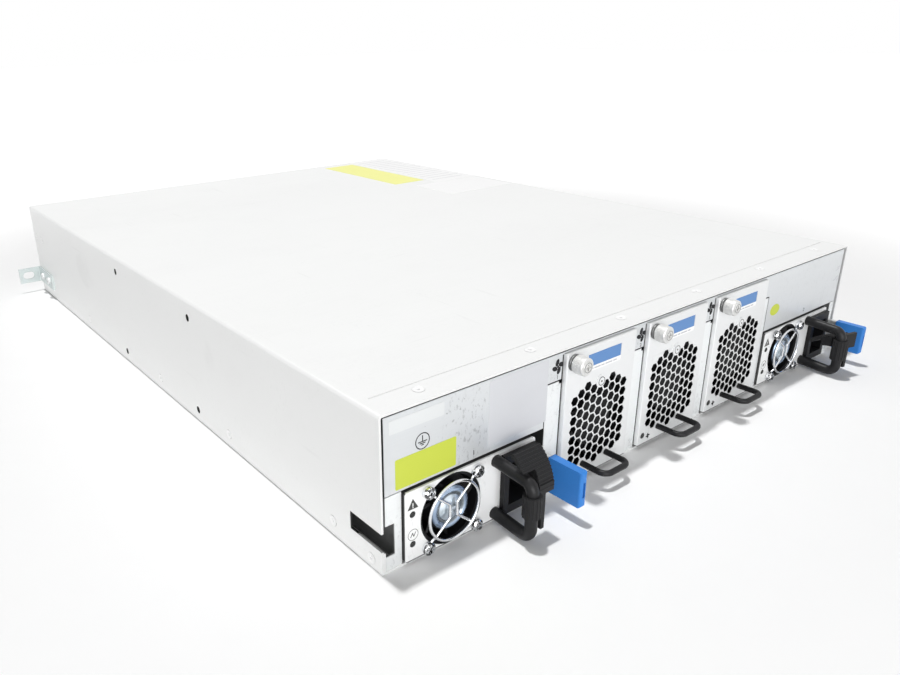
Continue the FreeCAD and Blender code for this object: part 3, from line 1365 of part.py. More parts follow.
def heat_sinks():
    """Two finned blocks on the main board."""
    sinks = []
    for side in (-1, 1):
        middle = f"({side} * sink_spread / 2)"
        x = (f"{middle} - sink_width / 2", f"{middle} + sink_width / 2")
        y = (f"{FACE} + sink_depth - sink_length / 2", f"{FACE} + sink_depth + sink_length / 2")
        name = f"sink_{side + 1}"
        pieces = [box(f"{name}_base", x, y, (BOARD_TOP, f"{BOARD_TOP} + sink_base"))]
        for number in range(SINK_FINS):
            left = f"({x[0]} + {number} * (sink_width - sink_fin) / {SINK_FINS - 1})"
            pieces.append(box(f"{name}_fin_{number}", (left, f"{left} + sink_fin"), y,
                              (BOARD_TOP, f"{BOARD_TOP} + sink_height")))
        sinks.append(join(name, pieces))
    node("heat_sinks", group("sink_group", sinks))


def port_block(label, left, columns, rows, hollow, wall, length, deep):
    """A block of open boxes that face the port side, standing on the main board."""
    wide, tall = hollow
    x = (left, f"{left} + {columns} * {wide} + {columns + 1} * {wall}")
    z = (BOARD_TOP, f"{BOARD_TOP} + {rows} * {tall} + {rows + 1} * {wall}")
    block = box(f"{label}_block", x, (f"{PORT_END} - {length}", PORT_END), z)
    hollows = []
    for column in range(columns):
        for row in range(rows):
            corner_x = f"({left} + {wall} + {column} * ({wide} + {wall}))"
            corner_z = f"({BOARD_TOP} + {wall} + {row} * ({tall} + {wall}))"
            hollows.append(box(f"{label}_hollow_{column}{row}", (corner_x, f"{corner_x} + {wide}"),
                               (f"{PORT_END} - {deep}", PORT_END), (corner_z, f"{corner_z} + {tall}")))
    node(label, cut(f"{label}_cut", block, hollows))


def port_side():
    """The port cages, the management jacks and the perforated panel round them."""
    for hand in ("left", "right"):
        port_block(f"port_cage_{hand}", f"port_group_{hand}", PORT_COLUMNS, PORT_ROWS,
                   ("port_width", "port_height"), "port_wall", "port_length", "port_hollow")
    port_block("management_jacks", "jack_place", JACK_COUNT, 1, ("jack_width", "jack_height"), "jack_wall",
               "jack_length", "jack_hollow")
    gap = size("slide_gap")
    tray_side = size("chassis_width") / 2 - size("cover_sheet") - size("cover_fit")
    half = tray_side - size("base_sheet") - gap
    floor = size("base_sheet")
    roof = size("chassis_height") - size("cover_sheet") - size("cover_fit")
    board = size("base_sheet") + size("main_board_lift") + size("board_sheet")
    outline = [rectangle((-half, half), (floor, roof))]
    cage_wide = PORT_COLUMNS * size("port_width") + (PORT_COLUMNS + 1) * size("port_wall")
    cage_tall = PORT_ROWS * size("port_height") + (PORT_ROWS + 1) * size("port_wall")
    for hand in ("left", "right"):
        first = size(f"port_group_{hand}")
        outline.append(rectangle((first - gap, first + cage_wide + gap),
                                 (board - gap, board + cage_tall + gap)))
        for column in range(PORT_COLUMNS):
            x = first + size("port_wall") + (column + 0.5) * size("port_width") + column * size("port_wall")
            z = board + cage_tall + size("port_light_rise")
            for side in (-1, 1):
                outline.append(circle(x + side * size("port_width") / 4, z, size("port_light_radius")))
    first = size("jack_place")
    jack_wide = JACK_COUNT * size("jack_width") + (JACK_COUNT + 1) * size("jack_wall")
    jack_tall = size("jack_height") + 2 * size("jack_wall")
    outline.append(rectangle((first - gap, first + jack_wide + gap),
                             (board - gap, board + jack_tall + gap)))
    pitch = size("port_vent_pitch")
    column_pitch = pitch * math.sqrt(3) / 2
    columns = int(size("port_vent_reach") / column_pitch)
    for column in range(-columns, columns + 1):
        stagger = 0.5 if column % 2 else 0.0
        for row in range(PORT_VENT_ROWS):
            z = size("port_vent_low") + (row + stagger) * pitch
            outline.append(hexagon(column * column_pitch, z, size("port_vent_flats")))
    node("port_panel", plate("port_panel", outline, "panel_recess - chassis_depth / 2", "panel_sheet"))


def chassis():
    """Every fixed piece."""
    base_tray()
    top_cover()
    service_panel()
    for number in (1, 2, 3, 4):
        bay_post(number)
    for hand in PSU_BAYS:
        power_bay(hand)
    for side, hand in ((-1, "left"), (1, "right")):
        rack_ear(side, hand)
    flush = [flush_screw(*entry) for entry in cover_screw_places()]
    node("cover_screws", group("cover_screw_group", flush))
    pan = [pan_screw(*entry, "screw_length") for entry in ear_screw_places()]
    node("ear_screws", group("ear_screw_group", pan))
    fan_board()
    main_board()
    heat_sinks()
    port_side()


def export():
    """Checks every piece and writes each sub-part's file."""
    doc.recompute()
    for item in doc.Objects:
        if "Invalid" in item.State or "Error" in item.State:
            raise RuntimeError(f"{item.Label} failed: {item.State}")
    for piece in nodes:
        if piece.Shape.isNull() or not piece.Shape.isValid() or not piece.Shape.Solids:
            raise RuntimeError(f"{piece.Label} has no valid solid")
    os.makedirs("parts", exist_ok=True)
    for piece in nodes:
        piece.Shape.exportStep(os.path.join("parts", f"{piece.Label}.step"))
        print(f"{piece.Label}: {len(piece.Shape.Solids)} solid(s), {piece.Shape.Volume:.1f} mm3")
    print(f"{len(nodes)} sub-parts")


chassis()
for psu_hand in PSU_BAYS:
    power_supply(psu_hand)
for fan_number in FANS:
    fan_module(fan_number)
export()
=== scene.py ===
import math

import bmesh
import bpy
from mathutils import Matrix, Vector


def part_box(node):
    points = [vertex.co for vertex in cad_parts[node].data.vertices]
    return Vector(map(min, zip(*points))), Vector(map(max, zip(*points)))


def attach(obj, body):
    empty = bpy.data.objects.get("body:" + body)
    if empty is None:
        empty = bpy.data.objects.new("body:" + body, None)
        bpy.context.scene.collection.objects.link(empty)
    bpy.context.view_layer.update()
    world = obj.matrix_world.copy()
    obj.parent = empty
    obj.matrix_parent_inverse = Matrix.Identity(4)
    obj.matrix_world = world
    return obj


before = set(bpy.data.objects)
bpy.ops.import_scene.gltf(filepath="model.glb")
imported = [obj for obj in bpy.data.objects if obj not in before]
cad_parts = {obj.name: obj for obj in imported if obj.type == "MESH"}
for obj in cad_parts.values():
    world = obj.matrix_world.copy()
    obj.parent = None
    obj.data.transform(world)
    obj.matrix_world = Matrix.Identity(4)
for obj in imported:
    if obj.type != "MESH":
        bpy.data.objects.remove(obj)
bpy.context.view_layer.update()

bl_info = {
    "name": "Rack Switch Finishes",
    "version": (1, 0, 0),
    "blender": (4, 5, 0),
    "location": "View3D > Sidebar > Switch",
    "description": "Finishes, labels, symbols and lights of a two-unit rack switch",
    "category": "Object",
}

MM = 0.001
UP = Vector((0, 0, 1))
POWER_SUPPLIES = ("psu_left", "psu_right")
FANS = ("fan_1", "fan_2", "fan_3")

# Planes that the labels, symbols and lights sit on, in metres
PANEL_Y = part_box("service_panel")[0].y
POWER_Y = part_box("psu_left_case")[0].y
FAN_HANDLE = {fan: (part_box(f"{fan}_handle")[0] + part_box(f"{fan}_handle")[1]) / 2 for fan in FANS}
FAN_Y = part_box("fan_1_frame")[0].y - 2.8 * MM
TOP_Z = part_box("top_cover")[1].z
FACE_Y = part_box("top_cover")[0].y
PORT_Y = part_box("port_panel")[1].y
FAN_PITCH = FAN_HANDLE["fan_2"].x - FAN_HANDLE["fan_1"].x

# Where a finish changes, in metres; most of these bound painted shade, and PANEL_CALM bounds wear
EDGE_BLUR = 0.2 * MM
PANEL_BACK = PANEL_Y + 0.3 * MM
PANEL_CALM = (-50.0 * MM, 100.0 * MM)
VENT_HALF = 28.0 * MM
VENT_TOP = 62.0 * MM
VENT_LIP = FAN_Y + 0.1 * MM
PLATE_BACK = FAN_Y + 3.0 * MM
PLATE_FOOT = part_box("fan_1_plate")[0].z + 0.5 * MM
CASE_BACK = POWER_Y + 0.15 * MM
CASE_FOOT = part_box("psu_left_case")[0].z + 0.6 * MM
CASE_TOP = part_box("psu_left_case")[1].z - 0.3 * MM
CROWN_LIP = 0.9 * MM
TRAY_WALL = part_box("base_tray")[0].z + 2.0 * MM
COVER_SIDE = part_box("top_cover")[1].x
COVER_FOLD = TOP_Z - 5.0 * MM
SERVICE_RIM = FACE_Y + 20.0 * MM

# Shares of a colour that are left where shade is painted, and the grain of rolled sheet
DEEP_SHADE = 0.06
BAY_SHADE = 0.28
FOOT_SHADE = 0.14
TRAY_SHADE = 0.05
CALM_SHARE = 0.75
GRAIN = 900.0
GRAIN_DEPTH = 0.05 * MM

# Shapes and places of the added pieces: millimetres, counts and shares
HUB_RADIUS = 12.2
HUB_PROFILE = ((0.0, 1.0), (6.7, 0.9), (7.2, 0.2), (8.6, 0.2), (9.0, 1.3), (10.6, 1.3), (11.7, 0.8),
               (HUB_RADIUS, 0.0), (0.0, 0.0))
FERRULE_PROFILE = ((3.8, 0.0), (4.7, 0.0), (4.7, 0.9), (4.4, 1.3), (3.8, 1.3), (3.8, 0.0))
BAND_X, BAND_Z = (-12.3, 15.5), (70.8, 78.1)
STRIP_X, STRIP_Z = (-12.3, 16.0), (67.9, 78.1)
BAR_START, BAR_GAP, BAR_Z = -11.0, 0.8, (68.8, 69.6)
BAR_WIDTHS = (3.4, 5.2, 2.6, 6.0, 3.0)
KNOB_X, KNOB_Z = -24.2, 77.2
KNURLS, KNURL_RADIUS, KNURL_LENGTH = 36, 0.26, 3.4
KNURL_OUT, KNURL_UP = 5.08, 4.9
STUD_RISE, STUD_Z = 0.8, 59.4
PANEL_LABELS = (
    ("panel_grey_label", "label_grey", (-151.5, -109.0), (46.4, 82.5)),
    ("earth_sticker", "sticker", (-210.7, -173.2), (43.8, 59.9)),
    ("panel_pale_label", "label_pale", (-214.0, -181.0), (74.0, 81.0)),
)
COVER_LABELS = (
    ("cover_yellow_label", "label_yellow", (117.0, 157.0), (424.0, 564.0)),
    ("cover_white_sheet", "label_white", (160.0, 217.0), (405.0, 575.0)),
    ("cover_white_label", "label_white", (129.0, 213.0), (346.0, 404.0)),
)
OVAL_SPOT, OVAL_RADIUS, OVAL_SQUASH = (124.7, 56.3), 6.0, 0.68
SCRAPES = ((213.6, 70.4, 4.0), (211.8, 68.6, 5.0), (213.0, 62.6, 3.6), (210.6, 61.0, 5.4), (214.4, 60.0, 2.4))
SHEET_BARS, SHEET_BAR_X, SHEET_BAR_Y, SHEET_BAR_PITCH = 14, 165.0, 418.0, 11.0
EARTH_SPOT = (-194.3, 64.6)
POWER_BAYS, POWER_BAY_NUMBER_Z = (-161.3, 168.8), 46.2
FAN_BAYS, FAN_SYMBOL_Z, FAN_BAY_NUMBER_Z = (-101.6, -29.9, 40.9), 76.4, 70.0
POWER_STROKES = (((-1.5, -1.0), (-0.4, 1.0)), ((-0.4, 1.0), (0.4, -1.0)), ((0.4, -1.0), (1.5, 1.0)))
POWER_MARK_X, POWER_MARK_Z = 4.9, 16.4
ALARM_Z, ALARM_STROKE_Z, ALARM_DOT_Z = 33.0, 32.6, 31.9
SMALL_SYMBOL, SMALL_SYMBOL_SPOT = 0.42, (-19.5, 6.6)
POWER_LENS_X, POWER_LENSES_Z = 4.7, (11.0, 28.0)
FAN_LENS_SPOT = (-25.2, 8.4)
LENS_DEPTH = 0.6
PORT_LENS_RADIUS, PORT_PITCH, PORT_COLUMNS = 0.95, 19.8, 4

FACING_SERVICE = Matrix.Rotation(math.radians(90), 4, "X")
FACING_PORTS = Matrix.Rotation(math.radians(180), 4, "Z") @ FACING_SERVICE
FACING_UP = Matrix.Identity(4)


# Settings

def length(name, description, default):
    """A size in metres."""
    return bpy.props.FloatProperty(name=name, description=description, default=default, unit="LENGTH",
                                   precision=5)


def colour(name, description, default):
    """A surface colour."""
    return bpy.props.FloatVectorProperty(name=name, description=description, default=default, size=3,
                                         min=0.0, max=1.0, subtype="COLOR")


def factor(name, description, default):
    """A share from 0 to 1."""
    return bpy.props.FloatProperty(name=name, description=description, default=default, min=0.0, max=1.0,
                                   subtype="FACTOR")


class SwitchColours(bpy.types.PropertyGroup):
    """Colours of the switch's finishes"""
    cover: colour("Cover sheet", "Zinc-plated cover and base", (0.86, 0.865, 0.86))
    ear: colour("Ears", "Bluish zinc of the rack ears", (0.62, 0.68, 0.675))
    panel: colour("Service sheet", "Zinc-plated panel", (0.71, 0.73, 0.745))
    bay: colour("Bay sheets", "Zinc-plated posts and bay sheets", (0.88, 0.90, 0.905))
    plate: colour("Fan plates", "Pale perforated plates of the fans", (0.84, 0.85, 0.855))
    case: colour("Power plates", "White plates of the power supplies", (0.93, 0.935, 0.935))
    screw: colour("Screws", "Plain steel screws", (0.80, 0.81, 0.81))
    nickel: colour("Nickel", "Thumbscrews and inlet pins", (0.78, 0.78, 0.77))
    chrome: colour("Chrome", "Finger guards and their screws", (0.82, 0.83, 0.85))
    black_bar: colour("Handles", "Painted round bars", (0.009, 0.009, 0.010))
    black_plastic: colour("Black plastic", "Inlets, clips and jacks", (0.010, 0.010, 0.011))
    fan_plastic: colour("Fan plastic", "Fan frames and rotors", (0.006, 0.006, 0.007))
    hub_disc: colour("Hub disc", "Shiny disc on the small rotors", (0.74, 0.82, 0.90))
    release_blue: colour("Release tabs", "Moulded blue tabs", (0.038, 0.20, 0.58))
    label_blue: colour("Fan labels", "Printed blue bands", (0.10, 0.25, 0.55))
    label_grey: colour("Grey label", "Blank label on the panel", (0.655, 0.665, 0.693))
    label_pale: colour("Pale label", "Clear film on the panel", (0.765, 0.785, 0.79))
    label_white: colour("White labels", "Blank paper labels", (0.97, 0.97, 0.97))
    label_yellow: colour("Yellow band", "Yellow label on the cover", (0.93, 0.93, 0.32))
    sticker: colour("Sticker", "Yellow-green blank stickers", (0.58, 0.66, 0.06))
    ink: colour("Ink", "Printed symbols", (0.03, 0.03, 0.032))
    # Grey ink also colours the ring of painted shade and the dot on the fan studs
    grey_ink: colour("Grey ink", "Small printed symbols", (0.075, 0.075, 0.073))
    faint_ink: colour("Faint ink", "Pale printed bars and scrapes", (0.58, 0.59, 0.62))
    trace_ink: colour("Trace ink", "Nearly worn-off print", (0.80, 0.80, 0.81))
    lens: colour("Lenses", "Unlit indicator lenses", (0.030, 0.031, 0.030))
    board: colour("Boards", "Solder mask", (0.02, 0.10, 0.045))
    brass: colour("Standoffs", "Plain brass", (0.55, 0.40, 0.16))
    sink: colour("Heat sinks", "Plain extrusion", (0.66, 0.67, 0.69))


class SwitchSizes(bpy.types.PropertyGroup):
    """Sizes of the printed and stuck-on pieces"""
    label_thickness: length("Label thickness", "Thickness of a paper or film label", 0.12 * MM)
    ink_thickness: length("Ink thickness", "Thickness of a printed symbol", 0.05 * MM)
    corner: length("Label corner", "Corner radius of a label", 0.8 * MM)
    symbol: length("Fan symbol", "Diameter of a fan symbol", 8.6 * MM)
    earth: length("Earth symbol", "Diameter of the earth symbol", 8.8 * MM)
    digit: length("Digit", "Height of a printed digit", 3.4 * MM)
    lens_radius: length("Lens radius", "Radius of a power supply's lens", 1.75 * MM)
    fan_lens_radius: length("Fan lens radius", "Radius of a fan's lens", 1.95 * MM)
    wear: factor("Wear", "Strength of scratches and smudges", 0.8)


class SwitchStage(bpy.types.PropertyGroup):
    """Floor and lamps"""
    floor_width: length("Floor width", "Side of the floor", 12.0)
    key_power: bpy.props.FloatProperty(name="Key lamp", description="Power of the lamp above the cover",
                                       default=74.0, unit="POWER")
    fill_power: bpy.props.FloatProperty(name="Fill lamp", description="Power of the lamp at the service side",
                                        default=31.0, unit="POWER")
    sky: factor("Sky", "Strength of the even white surround", 0.19)


def colours():
    return bpy.context.scene.switch_colours


def sizes():
    return bpy.context.scene.switch_sizes


# Node groups shared by the finishes

def new_group(name, inputs, outputs):
    """An empty shader group with float inputs and outputs."""
    tree = bpy.data.node_groups.new(name, "ShaderNodeTree")
    for label, default in inputs:
        socket = tree.interface.new_socket(name=label, in_out="INPUT", socket_type="NodeSocketFloat")
        socket.default_value = default
    for label in outputs:
        tree.interface.new_socket(name=label, in_out="OUTPUT", socket_type="NodeSocketFloat")
    return tree, tree.nodes.new("NodeGroupInput"), tree.nodes.new("NodeGroupOutput")


def stretched_place(tree, stretch, turn=0.0):
    """Object coordinates, turned about Z and stretched by a fixed amount per axis."""
    place = tree.nodes.new("ShaderNodeTexCoord")
    mapping = tree.nodes.new("ShaderNodeMapping")
    mapping.inputs["Rotation"].default_value = (turn, turn * 0.7, turn)
    mapping.inputs["Scale"].default_value = stretch
    tree.links.new(place.outputs["Object"], mapping.inputs["Vector"])
    return mapping.outputs["Vector"]


def noise(tree, vector, scale, detail=3.0, roughness=0.5):
    node = tree.nodes.new("ShaderNodeTexNoise")
    node.inputs["Detail"].default_value = detail
    node.inputs["Roughness"].default_value = roughness
    if isinstance(scale, (int, float)):
        node.inputs["Scale"].default_value = scale
    else:
        tree.links.new(scale, node.inputs["Scale"])
    tree.links.new(vector, node.inputs["Vector"])
    return node.outputs["Fac"]


def spread(tree, value, low, high):
    """A value stretched so that low becomes 0 and high becomes 1."""
    node = tree.nodes.new("ShaderNodeMapRange")
    node.interpolation_type = "SMOOTHSTEP"
    node.inputs["From Min"].default_value = low
    node.inputs["From Max"].default_value = high
    tree.links.new(value, node.inputs["Value"])
    return node.outputs["Result"]


def maths(tree, operation, first, second):
    node = tree.nodes.new("ShaderNodeMath")
    node.operation = operation
    for socket, value in zip(node.inputs, (first, second)):
        if isinstance(value, (int, float)):
            socket.default_value = value
        else:
            tree.links.new(value, socket)
    return node.outputs["Value"]


def both(tree, first, second):
    """1 only where both masks are 1."""
    return maths(tree, "MULTIPLY", first, second)


def inverse(tree, mask):
    """1 where the mask is 0, and 0 where it is 1."""
    return maths(tree, "SUBTRACT", 1.0, mask)


def object_axes(tree):
    """The X, Y and Z of the Object coordinates."""
    place = tree.nodes.new("ShaderNodeTexCoord")
    split = tree.nodes.new("ShaderNodeSeparateXYZ")
    tree.links.new(place.outputs["Object"], split.inputs["Vector"])
    return split.outputs


def rolled_grain_group():
    """Fine streaks of rolled sheet along X, on broad soft bands."""
    tree, given, out = new_group("rolled_grain", [("Fineness", 900.0)], ["Grain", "Bands"])
    fine = noise(tree, stretched_place(tree, (0.03, 1.0, 1.0)), given.outputs["Fineness"], 4.0, 0.6)
    bands = noise(tree, stretched_place(tree, (0.25, 1.0, 1.0)), 9.0, 2.0, 0.4)
    tree.links.new(fine, out.inputs["Grain"])
    tree.links.new(bands, out.inputs["Bands"])
    return tree


SCRATCH_WAYS = ((0.5, (260.0, 9.0, 260.0)), (-0.9, (12.0, 300.0, 300.0)), (1.9, (330.0, 14.0, 14.0)))


def scuff_group():
    """Thin stray scratches in patches, soft smudges and rubbed specks."""
    tree, given, out = new_group("scuffs", [("Amount", 0.5)], ["Scratches", "Smudges", "Specks"])
    total = None
    for turn, stretch in SCRATCH_WAYS:
        line = spread(tree, noise(tree, stretched_place(tree, stretch, turn), 1.0, 1.0), 0.70, 0.74)
        total = line if total is None else maths(tree, "MAXIMUM", total, line)
    patch = spread(tree, noise(tree, stretched_place(tree, (1.0, 1.0, 1.0)), 24.0, 3.0), 0.48, 0.66)
    scratches = both(tree, both(tree, total, patch), given.outputs["Amount"])
    smudge = spread(tree, noise(tree, stretched_place(tree, (1.0, 1.3, 1.6)), 17.0, 4.0, 0.6), 0.50, 0.80)
    leaning = stretched_place(tree, (1.0, 1.0, 0.55), 0.6)
    specks = spread(tree, noise(tree, leaning, 520.0, 4.0, 0.7), 0.54, 0.66)
    rubbed = spread(tree, noise(tree, stretched_place(tree, (1.3, 1.0, 0.8), 0.6), 30.0, 3.0), 0.42, 0.62)
    specks = both(tree, both(tree, specks, rubbed), given.outputs["Amount"])
    tree.links.new(specks, out.inputs["Specks"])
    tree.links.new(scratches, out.inputs["Scratches"])
    tree.links.new(both(tree, smudge, given.outputs["Amount"]), out.inputs["Smudges"])
    return tree


def speckle_group():
    """Fine moulded texture and specks of dust."""
    tree, given, out = new_group("speckle", [("Fineness", 1800.0)], ["Texture", "Dust"])
    texture = noise(tree, stretched_place(tree, (1.0, 1.0, 1.0)), given.outputs["Fineness"], 3.0, 0.6)
    dust = spread(tree, noise(tree, stretched_place(tree, (1.0, 1.0, 1.0)), 420.0, 4.0, 0.7), 0.62, 0.76)
    tree.links.new(texture, out.inputs["Texture"])
    tree.links.new(dust, out.inputs["Dust"])
    return tree


GROUPS = {}


def shared(name):
    makers = {"rolled_grain": rolled_grain_group, "scuffs": scuff_group, "speckle": speckle_group}
    if name not in GROUPS:
        GROUPS[name] = makers[name]()
    return GROUPS[name]


# Finishes

class Finish:
    """A material with one Principled shader and the wires that feed it."""

    def __init__(self, name, base, metallic, roughness):
        self.material = bpy.data.materials.new(name)
        self.material.use_nodes = True
        self.tree = self.material.node_tree
        self.shader = self.tree.nodes["Principled BSDF"]
        self.shader.inputs["Metallic"].default_value = metallic
        self.rough = roughness
        self.base = tuple(base) + (1.0,)
        self.paint = None
        self.gloss = None

    def use(self, name, **values):
        node = self.tree.nodes.new("ShaderNodeGroup")
        node.node_tree = shared(name)
        for label, value in values.items():
            node.inputs[label.capitalize()].default_value = value
        return node.outputs

    def tint(self, mask, shade, amount=1.0):
        """Moves the colour towards a shade where the mask is high."""
        mix = self.tree.nodes.new("ShaderNodeMix")
        mix.data_type = "RGBA"
        mix.inputs["B"].default_value = tuple(shade) + (1.0,)
        if self.paint is None:
            mix.inputs["A"].default_value = self.base
        else:
            self.tree.links.new(self.paint, mix.inputs["A"])
        self.tree.links.new(maths(self.tree, "MULTIPLY", mask, amount), mix.inputs["Factor"])
        self.paint = mix.outputs["Result"]

    def roughen(self, mask, amount):
        """Adds to the roughness where the mask is high."""
        base = self.rough if self.gloss is None else self.gloss
        self.gloss = maths(self.tree, "ADD", maths(self.tree, "MULTIPLY", mask, amount), base)

    def bump(self, height, strength, distance):
        node = self.tree.nodes.new("ShaderNodeBump")
        node.inputs["Strength"].default_value = strength
        node.inputs["Distance"].default_value = distance
        self.tree.links.new(height, node.inputs["Height"])
        self.tree.links.new(node.outputs["Normal"], self.shader.inputs["Normal"])

    def done(self):
        if self.paint is None:
            self.shader.inputs["Base Color"].default_value = self.base
        else:
            self.tree.links.new(self.paint, self.shader.inputs["Base Color"])
        if self.gloss is None:
            self.shader.inputs["Roughness"].default_value = self.rough
        else:
            self.tree.links.new(self.gloss, self.shader.inputs["Roughness"])
        return self.material


def scaled(shade, amount):
    return tuple(min(1.0, part * amount) for part in shade)


def plane_mask(tree, axis, plane):
    """1 beyond a plane across one axis and 0 before it."""
    return spread(tree, object_axes(tree)[axis], plane, plane + EDGE_BLUR)


def vent_mask(tree):
    """1 on the walls of the fan plates' vents, where shade is painted, and 0 on the plates' front faces and
    folded edges.
    """
    axes = object_axes(tree)
    middle = maths(tree, "SUBTRACT", axes["X"], FAN_HANDLE["fan_2"].x)
    beside = maths(tree, "PINGPONG", middle, FAN_PITCH / 2)
    field = maths(tree, "LESS_THAN", beside, VENT_HALF)
    low = maths(tree, "LESS_THAN", axes["Z"], VENT_TOP)
    return both(tree, both(tree, field, low), plane_mask(tree, "Y", VENT_LIP))


def plate_finish(name, base, wear, foot, behind, crown=None, vented=False, metallic=0.30):
    """A white plate with painted shade behind a plane across Y, on its vent walls when vented and along its
    foot, but not on its crown's lip.
    """
    finish = Finish(name, base, metallic, 0.34)
    tree = finish.tree
    grain = finish.use("rolled_grain", fineness=GRAIN)
    scuffs = finish.use("scuffs", amount=wear)
    finish.tint(grain["Bands"], scaled(base, 0.92), 0.5)
    finish.tint(scuffs["Smudges"], scaled(base, 0.72), 0.5)
    finish.tint(scuffs["Scratches"], scaled(base, 0.45), 0.85)
    finish.tint(scuffs["Specks"], scaled(base, 0.55), 0.7)
    # Painted shade: darker behind the front plane, on the vent walls and along the foot
    sides = plane_mask(tree, "Y", behind)
    if crown is not None:
        lip = inverse(tree, plane_mask(tree, "Y", behind + CROWN_LIP))
        top = both(tree, plane_mask(tree, "Z", crown), lip)
        sides = both(tree, sides, inverse(tree, top))
    finish.tint(sides, scaled(base, DEEP_SHADE))
    if vented:
        finish.tint(vent_mask(tree), scaled(base, DEEP_SHADE))
    finish.tint(inverse(tree, plane_mask(tree, "Z", foot)), scaled(base, FOOT_SHADE))
    finish.roughen(grain["Grain"], 0.12)
    finish.bump(grain["Grain"], 0.10, GRAIN_DEPTH)
    return finish.done()


def hole_mask(tree):
    """1 on the cover's inner faces and in its side holes, where shade is painted, and 0 on its outer faces
    and service edge.
    """
    across = maths(tree, "ABSOLUTE", object_axes(tree)["X"], 0.0)
    skin = spread(tree, across, COVER_SIDE - EDGE_BLUR, COVER_SIDE - EDGE_BLUR / 2)
    outside = maths(tree, "MAXIMUM", skin, plane_mask(tree, "Z", COVER_FOLD))
    return both(tree, inverse(tree, outside), plane_mask(tree, "Y", SERVICE_RIM))


def calm_mask(tree):
    """1 on the left half of the service panel, falling to 0.25 on the right half, which is hardly worn."""
    right = spread(tree, object_axes(tree)["X"], *PANEL_CALM)
    return inverse(tree, maths(tree, "MULTIPLY", right, CALM_SHARE))


def sheet_finish(name, base, metallic, roughness, wear, behind=None, dim=DEEP_SHADE, holed=False, calm=False):
    """Zinc-plated sheet with rolled grain, scratches and smudges; painted shade behind a plane across Y, and
    inside the cover and its holes when holed.
    """
    finish = Finish(name, base, metallic, roughness)
    tree = finish.tree
    grain = finish.use("rolled_grain", fineness=GRAIN)
    scuffs = finish.use("scuffs", amount=wear)
    finish.tint(grain["Bands"], scaled(base, 0.90), 0.55)
    finish.tint(grain["Grain"], scaled(base, 1.10), 0.35)
    finish.tint(scuffs["Smudges"], scaled(base, 0.70), 0.55)
    scratches, specks = scuffs["Scratches"], scuffs["Specks"]
    if calm:
        worn = calm_mask(tree)
        scratches = both(tree, scratches, worn)
        specks = both(tree, specks, worn)
    finish.tint(scratches, scaled(base, 0.45), 0.85)
    finish.tint(specks, scaled(base, 0.52), 0.75)
    # Painted shade behind the front plane and inside the cover and its holes
    if behind is not None:
        finish.tint(plane_mask(tree, "Y", behind), scaled(base, dim))
    if holed:
        finish.tint(hole_mask(tree), scaled(base, dim))
    finish.roughen(grain["Grain"], 0.12)
    finish.roughen(scuffs["Smudges"], 0.15)
    finish.bump(grain["Grain"], 0.12, GRAIN_DEPTH)
    return finish.done()


def tray_finish(name, base):
    """Zinc-plated base whose walls, which the cover hides, are darkened with painted shade."""
    finish = Finish(name, base, 0.35, 0.38)
    tree = finish.tree
    grain = finish.use("rolled_grain", fineness=GRAIN)
    finish.tint(grain["Bands"], scaled(base, 0.90), 0.55)
    # Painted shade on the walls that the cover hides
    wall = both(tree, plane_mask(tree, "Z", TRAY_WALL), plane_mask(tree, "Y", SERVICE_RIM))
    finish.tint(wall, scaled(base, TRAY_SHADE))
    finish.roughen(grain["Grain"], 0.12)
    return finish.done()


def bright_finish(name, base, roughness, metallic):
    """Bright plated metal with faint haze."""
    finish = Finish(name, base, metallic, roughness)
    speckle = finish.use("speckle", fineness=700.0)
    finish.tint(speckle["Texture"], scaled(base, 0.82), 0.5)
    finish.tint(speckle["Dust"], scaled(base, 0.6), 0.3)
    finish.roughen(speckle["Texture"], 0.10)
    return finish.done()


def glint_finish(name, base, roughness):
    """Bright turned metal that breaks up into dark pits and glints; the dark patches are painted reflection
    on bumped pits.
    """
    finish = Finish(name, base, 1.0, roughness)
    place = stretched_place(finish.tree, (1.0, 1.0, 1.0))
    # Painted reflection: dark patches stand for dark reflections in the chrome; the same noise bumps the pits
    pits_and_painted_reflection = spread(finish.tree, noise(finish.tree, place, 620.0, 2.0, 0.5), 0.44, 0.56)
    finish.tint(pits_and_painted_reflection, scaled(base, 0.06), 0.9)
    finish.roughen(finish.use("speckle", fineness=700.0)["Texture"], 0.08)
    finish.bump(pits_and_painted_reflection, 0.5, 0.2 * MM)
    return finish.done()


